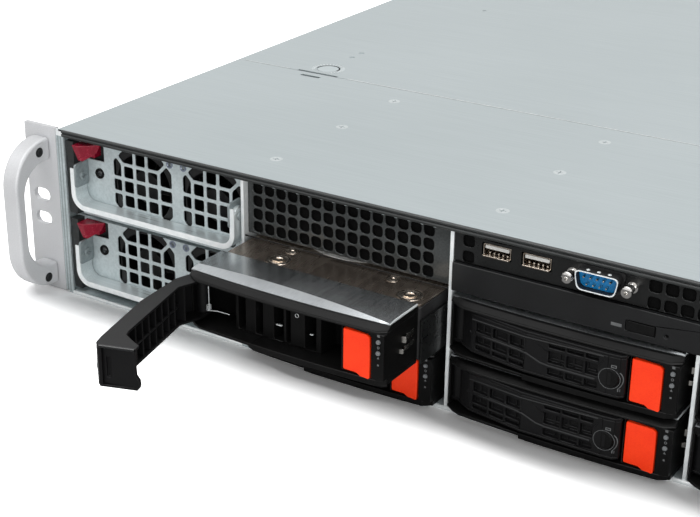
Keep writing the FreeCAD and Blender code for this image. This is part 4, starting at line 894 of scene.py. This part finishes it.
plate_left, plate_width, plate_top, tray_back, case_top = 1.6, 100.8, 27.2, 168, 25.4
plate = sheet_between(slope_back, plate_back, plate_top, plate_top, 0.8)
slope = sheet_between(plate_front, slope_back, 26.5, plate_top, 0.7)
tray_walls = [block(x, x + 1, bezel_back, tray_back, 0, 20) for x in (1.5, 104.1)]
tray_walls += [block(2.5, 104.1, y, y + 10, 0, 0.9) for y in (140, 40)]
drive_outline = rounded(rect(2.6, 104, 21.2, tray_back), 2)
pad_places = ((27.7, 28.0), (94.8, 28.2))
stud_places = ((27.4, 39.0), (80.4, 38.3))
lid_holes = [disc(x, y, 6.1) for x, y in pad_places] + [disc(x, y, 3.6, 18) for x, y in stud_places]
lid_outline = rounded(rect(3.2, 103.4, 21.6, 167.4), 2.5)
lid = sunk(lid_outline, lid_holes, "Z", case_top, 26.4, 26.1)
pad = [(5.95, 26.1), (5.8, 26.55), (5.0, 26.4), (4.3, 26.65), (3.4, 26.35)]
pad_screw = [(2.9, 26.3), (2.9, 26.85), (1.9, 26.9), (1.6, 26.5), (0.1, 26.5)]
stud = [(3.4, 26.1), (3.3, 26.55), (2.4, 26.4), (1.7, 26.7), (1.0, 26.65), (0.8, 26.4), (0.1, 26.4)]
pads = [lathe(pad, (x, y, 0), "Z") for x, y in pad_places]
pads += [lathe(pad_screw, (x, y, 0), "Z", 18) for x, y in pad_places]
pads += [lathe(stud, (x, y, 0), "Z", 16) for x, y in stud_places]
label = prism(disc(47.9, 78.6, 35, 64), "Z", 26.4, 26.5)
pipe_x = 100.4
pipe = [(1.05, -1), (1.05, -6.5), (0.85, -6.9), (0.4, -7.1), (0.05, -7.15)]
pipes = [lathe(pipe, (pipe_x, 0, z), "Y", 16) for z in (15.2, 20.2)]
fingers = []
finger = ((103.0, 0), (104.6, 0.7), (104.3, 2), (103.2, 3.4), (103.8, 6))
for low, high, start in ((14.8, 17.6, 8.0), (10.6, 12.6, 6.0)):
    zigzag = [(x, start + y) for x, y in finger] + [(103.1, 18)]
    fingers.append(prism(zigzag + [(x - 0.35, y) for x, y in reversed(zigzag)], "Z", low, high))
coil = [(8.1 + 1.0 * math.cos(t * 0.6), 2.0 + 1.0 * math.sin(t * 0.6), 9.4 - t * 0.06) for t in range(40)]
wire = [(8.1, 2.0, 23.0), (8.1, 2.0, 16.0), (8.2, 2.0, 9.6)] + coil + [(12.5, 2.4, 7.2), (19.0, 2.6, 7.2)]
# Near-white contact fronts, a ring and two ferrules: painted glints deep in the recess
glints = [block(x - half, x + half, 0.8, contact_back, 10.1, 10.5) for x, half in contact_places]
glints += [lathe([(0.95, 0.5), (0.95, 0.2), (0.85, 0.1), (0.75, 0.45)], (56.3, 0, 17.6), "Y", 14)]
ferrule = [(0.7, slot_floor), (0.7, 4.6), (0.55, 4.5), (0.5, slot_floor)]
glints += [lathe(ferrule, (36.6, 0, z), "Y", 14) for z in (10.6, 13.1)]
# A near-white strip on the plate's right side: painted highlight along that edge
plate_side_highlight = [(-1.0, 26.3), (bezel_back, 26.3), (bezel_back, 27.25), (3.0, 27.25), (-1.0, 26.6)]
ink, ink_back = -6.26, -6.15
prints = [prism(rect(99.8, 101.0, 22.4, 23.4), "Y", ink, ink_back),
          pierced(disc(pipe_x, 17.7, 0.6, 12), [disc(pipe_x, 17.7, 0.35, 12)], "Y", ink, ink_back),
          prism([(99.8, 12.6), (101.0, 12.6), (pipe_x, 13.6)], "Y", ink, ink_back),
          prism(rect(100.0, 100.8, 9.4, 10.2), "Y", ink, ink_back)]
button_mesh = build("release_button", [prism(rounded(button_outline, 0.8, 3), "Y", -6.7, 2.0)],
                    orange_plastic)
button_mark = prism([(89.4, 13.6), (90.8, 13.6), (90.1, 12.3)], "Y", -6.78, -6.6)
button_print = build("release_button_mark", [button_mark], orange_plastic)

# Levers, drawn about the hinge: two plates, a stepped front with louvre cells, ribs and a tip. The front
# and back lines run through marks, as distances along the lever and across it
front_marks = [(-2.6, -3.0), (1.5, -3.9), (3.2, -5.2), (9, -8.6), (35.2, -12.8), (71, -12.8), (76, -12.3),
               (78, -10.5)]
back_marks = [(-1.6, 3.4), (3, 3.6), (7.5, 2.4), (17, -3.6), (63, -4.4), (66, -3.6), (69.5, 0.6),
              (73, 5.4), (76.5, 5.5)]


def along(marks, u):
    for (u0, v0), (u1, v1) in zip(marks, marks[1:]):
        if u <= u1:
            return v0 + (v1 - v0) * (u - u0) / (u1 - u0)
    return marks[-1][1]


def front_of(u):
    return along(front_marks, u)


def hugged(shape):
    verts, faces = shape
    return [(x, y + front_of(x), z) for x, y, z in verts], faces


lever_plan = [(-3.4, 0.6)] + front_marks + back_marks[::-1]
lever_low, plate_low, plate_high, lever_top = 4.6, 5.8, 22.2, 23.4
left_places = ((11.0, 18.2), (19.4, 26.6), (27.8, 34.8))
right_places = ((45.6, 52.6), (53.6, 60.6), (61.6, 67.0))
left_rows = ((14.8, 19.0), (9.4, 12.8), (6.6, 8.4))
right_rows = ((18.8, 21.0), (12.0, 17.2), (6.6, 9.6))
cells_left = [rounded(rect(a, b, c, d), 0.4) for c, d in left_rows for a, b in left_places]
cells_right = [rounded(rect(a, b, c, d), 0.4) for c, d in right_rows for a, b in right_places]
lever = [prism(lever_plan, "Z", plate_high, lever_top), prism(lever_plan, "Z", lever_low, plate_low),
         hugged(sunk(rect(9, 35.2, plate_low, plate_high), cells_left, "Y", 2.6, 0, 2.2)),
         hugged(sunk(rect(35.2, 71, plate_low, plate_high), cells_right, "Y", 2.6, 0, 2.2)),
         lathe([(3.2, 4.2), (3.2, plate_high)], (0, 0, 0), "Z", 24)]
end_places = ((3.2, 9), (71, 76), (76, 78))
lever += [hugged(prism(rect(a, b, plate_low, plate_high), "Y", 1.6, 0)) for a, b in end_places]
for u in range(14, 64, 6):
    lever.append(block(u - 0.5, u + 0.5, front_of(u) + 1.6, along(back_marks, u) - 0.4, plate_low,
                       plate_high))
web = [(u, front_of(u) + 1.5) for u in (9, 33, 66)] + [(66, -4.8), (17, -4.2)]
lever.append(prism(web, "Z", 13.0, 13.8))
tip = [(-9.6, plate_low), (-9.6, plate_high), (5.2, plate_high), (5.0, 16), (5.2, 11.5), (6.6, 9.4),
       (6.8, 7.0), (5.8, plate_low)]
lever.append(sunk(tip, [rounded(rect(-7.6, -5.8, 9, 18), 0.5)], "X", 75.0, 76.9, 75.9))
ridge_line = ((8, 13.7), (20, 13.7), (33, 13.7), (36, 13.4), (39, 12.2), (42, 11.0), (46, 10.5), (66, 10.5))
ridge = [(u, 0.45 + front_of(u), z) for u, z in ridge_line]
brow = [(u, 0.2 + front_of(u), z) for u, z in ((9, 19.8), (35, 20.6), (69, 21.6))]
bead = tube([(77.5, -10.2, 22.7), (76.4, 4.9, 22.7)], 0.75, 12)
lock_u, lock_z, lock_back = 72.0, 12.6, -10.6
lock_slot = rounded(rect(lock_u - 0.5, lock_u + 0.5, lock_z - 2.5, lock_z + 2.5), 0.3)
lock_rim = [disc(lock_u, lock_z, radius, 32) for radius in (4.0, 3.65)]
lock_shape = [sunk(disc(lock_u, lock_z, 3.6, 32), [lock_slot], "Y", lock_back, -12.75, -11.9),
              pierced(lock_rim[0], lock_rim[1:], "Y", lock_back, -12.6)]
lock_mesh = build("lock_disc", lock_shape, black_plastic)
swing = arc(lock_u, lock_z, 5.5, -48, 40, 10) + arc(lock_u, lock_z, 5.2, 40, -48, 10)
mark_back, mark_face = 0.4, -0.06
mark_ring = [disc(lock_u, lock_z, radius, 36) for radius in (4.5, 4.34)]
marks = [prism(swing, "Y", mark_back, mark_face),
         pierced(mark_ring[0], mark_ring[1:], "Y", mark_back, mark_face),
         prism(rect(75.6, 76.6, 7.6, 8.8), "Y", mark_back, mark_face),
         pierced(rect(72.4, 74.6, 17.6, 18.8), [rect(72.7, 74.3, 17.9, 18.5)], "Y", mark_back, mark_face)]

carrier_parts = meshes("carrier", [
    ("bezel", bezel, black_plastic, "black_plastic", 0.35),
    ("plate", [plate], brushed_plate, "zinc_steel", 0.0),
    ("plate_slope", [slope], plate_edge, "zinc_steel", 0.0),
    ("tray", tray_walls, powder, "black_steel", 0.2),
    ("drive", [prism(drive_outline, "Z", 1, case_top)], drive_case_and_dark_reflection, "black_steel", 0.5),
    ("drive_lid", [lid], drive_lid, "port_metal", 0.15),
    ("drive_screws", pads, drive_pad, "screw_steel", 0.0),
    ("drive_label", [label], paper, "port_metal", 0.0),
    ("pipes", pipes, clear_pipe, "port_metal", 0.0),
    ("clip", fingers, nickel, "screw_steel", 0.0),
    ("spring", [tube(wire, 0.2)], bright_zinc_and_highlight, "screw_steel", 0.0),
    ("contacts", glints, bright_zinc_and_highlight, "screw_steel", 0.0),
    # The plate's right edge strip: painted highlight
    ("plate_edge", [prism(plate_side_highlight, "X", 102.3, 102.65)], bright_zinc_and_highlight, "zinc_steel", 0.0),
    ("prints", prints, ink_grey, "port_metal", 0.0)])
lever_parts = meshes("lever", [
    ("shell", lever, lever_plastic, "lever_plastic", 0.35),
    ("ridge", [tube(ridge, 0.7, 10), tube(brow, 0.4, 8)], bezel_grey, "lever_plastic", 0.0),
    ("tip_bead", [bead], polished_nylon, "lever_plastic", 0.0),
    ("prints", [hugged(mark) for mark in marks], ink_grey, "lever_plastic", 0.0)])
for column, x in COLUMNS.items():
    for row, z in ROWS.items():
        key = column + "_" + row
        body, button, arm, lock = "carrier_" + key, "button_" + key, "lever_" + key, "lock_" + key
        pull, turn = (PULLED, OPENED) if key == DRAWN else (0.0, 0.0)
        at = (x, -pull, z)
        hinge = (x + HINGE[0], HINGE[1] - pull, z)
        put_parts(carrier_parts, body, at)
        put(button_mesh, button + "_cap", button, "orange_plastic", at, bevel=0.5, steps=3, nodes=[button])
        put(button_print, button + "_mark", button, "orange_plastic", at)
        put_parts(lever_parts, arm, hinge, turn)
        put(lock_mesh, lock + "_disc", lock, "lock_plastic", hinge, turn, bevel=0.2, nodes=[lock])

# Studio: a white floor, brighter to the camera than to gloss, that fades into the white surround
floor_mesh = bpy.data.meshes.new("floor")
floor_mesh.from_pydata([(-6, -6, 0), (6, -6, 0), (6, 6, 0), (-6, 6, 0)], [], [(0, 1, 2, 3)])
floor_paint = bpy.data.materials.new("studio_floor_paper_white")
floor_paint.use_nodes = True
tree = floor_paint.node_tree
shader = tree.nodes["Principled BSDF"]
path = add(tree, "ShaderNodeLightPath", {})
grain = add(tree, "ShaderNodeTexNoise", {"Scale": 40.0, "Detail": 2.0}).outputs[0]
tint = add(tree, "ShaderNodeMapRange", {0: grain, 3: 0.9, 4: 0.95}).outputs[0]
bright = add(tree, "ShaderNodeMix", {0: path.outputs["Is Camera Ray"], 2: tint, 3: 1.4}).outputs[0]
shown = add(tree, "ShaderNodeMix", {0: path.outputs["Is Glossy Ray"], 2: bright, 3: 0.2}).outputs[0]
tree.links.new(shown, shader.inputs["Base Color"])
place = add(tree, "ShaderNodeTexCoord", {}).outputs["Object"]
reach = add(tree, "ShaderNodeVectorMath", {0: place}, operation="LENGTH").outputs["Value"]
away = add(tree, "ShaderNodeMapRange", {0: reach, 1: 1.0, 2: 1.8, 3: 0.0, 4: 1.0}).outputs[0]
veil = add(tree, "ShaderNodeMath", {0: away, 1: path.outputs["Is Camera Ray"]},
           operation="MULTIPLY").outputs[0]
tree.links.new(veil, shader.inputs["Emission Strength"])
shader.inputs["Emission Color"].default_value = (1, 1, 1, 1)
shader.inputs["Roughness"].default_value = 0.9
shader.inputs["Specular IOR Level"].default_value = 0.0
floor_mesh.materials.append(floor_paint)
floor = bpy.data.objects.new("floor", floor_mesh)
bpy.context.scene.collection.objects.link(floor)


def lamp(name, place, target, size, power):
    data = bpy.data.lights.new(name, "AREA")
    data.shape = "RECTANGLE"
    data.size, data.size_y = size
    data.energy = power
    lamp_object = bpy.data.objects.new(name, data)
    lamp_object.location = place
    lamp_object.rotation_euler = (Vector(target) - Vector(place)).to_track_quat("-Z", "Y").to_euler()
    bpy.context.scene.collection.objects.link(lamp_object)
    return lamp_object


# A group of pieces that a light reaches or leaves out
def linked(name, pieces, state):
    group = bpy.data.collections.new(name)
    for piece in pieces:
        group.objects.link(piece)
    for entry in group.collection_objects:
        entry.light_linking.link_state = state
    return group


# A broad key light overhead leaves out the floor, which has a smaller twin of it to itself. As in the
# photo, the drawn carrier with its lever and the left handle throw no shadow there
drawn_pieces = [piece for piece in bpy.context.scene.objects if DRAWN in piece.name]
shadeless = drawn_pieces + [bpy.data.objects["handle_left"]]
off_floor = linked("all_but_floor", [floor], "EXCLUDE")
overhead = (0.1, 0.14, 2.1)
lamp("key", overhead, (0, 0.1, 0), (2.8, 2.4), 23).light_linking.receiver_collection = off_floor
floor_lamp = lamp("key_floor", overhead, (0, -0.25, 0), (1.7, 0.57), 62)
floor_lamp.light_linking.receiver_collection = linked("floor_only", [floor], "INCLUDE")
floor_lamp.light_linking.blocker_collection = linked("no_floor_shadow", shadeless, "EXCLUDE")
# A fill from the front right, and a light from the front left for the handle and the drawn carrier
lamp("fill", (1.4, -2.2, 0.6), (0, -0.3, 0.05), (1.8, 0.9), 20)
shut_slopes = [piece for piece in bpy.context.scene.objects
               if piece.name.endswith("_plate_slope") and piece not in drawn_pieces]
tops = [frame["nodes"][name] for name in ("front_cover", "top_lid")]
edge_lamp = lamp("edge", (-0.5, -1.2, 1.45), (-0.05, -0.38, 0.05), (0.9, 0.5), 10)
edge_lamp.light_linking.receiver_collection = linked("edge_shy", [floor] + tops + shut_slopes, "EXCLUDE")
# The orange buttons tint nothing beside them
for piece in bpy.context.scene.objects:
    if piece.name.startswith("button_"):
        piece.visible_diffuse = False

# The surround is white to the camera and in reflections, and dim as a light
world = bpy.data.worlds.new("studio")
bpy.context.scene.world = world
world.use_nodes = True
tree = world.node_tree
path = add(tree, "ShaderNodeLightPath", {})
back = tree.nodes["Background"]
mirrored = add(tree, "ShaderNodeMath", {0: path.outputs["Is Glossy Ray"],
                                        1: path.outputs["Is Transmission Ray"]},
               operation="MAXIMUM").outputs[0]
direct = add(tree, "ShaderNodeMath", {0: path.outputs["Is Camera Ray"], 1: mirrored},
             operation="MAXIMUM").outputs[0]
seen = add(tree, "ShaderNodeMapRange", {0: direct, 1: 0.0, 2: 1.0, 3: 0.22, 4: 1.0}).outputs[0]
tree.links.new(seen, back.inputs["Strength"])
back.inputs["Color"].default_value = (1, 1, 1, 1)

# Camera at the photo's angle
optics = bpy.data.cameras.new("camera")
camera = bpy.data.objects.new("camera", optics)
bpy.context.scene.collection.objects.link(camera)
across = Vector((0.82699915, 0.56219563, -0.00291274))
down = Vector((0.22222054, -0.33164038, -0.91686023))
ahead = Vector((-0.5164208, 0.75759536, -0.39919773))
pose = Matrix((across, -down, -ahead)).transposed().to_4x4()
pose.translation = Vector((0.26665857, -0.8631586, 0.31774182))
camera.matrix_world = pose
optics.lens = 75.838
optics.shift_x = 50 / 700
bpy.context.scene.camera = camera
bpy.context.scene.view_settings.view_transform = "Standard"
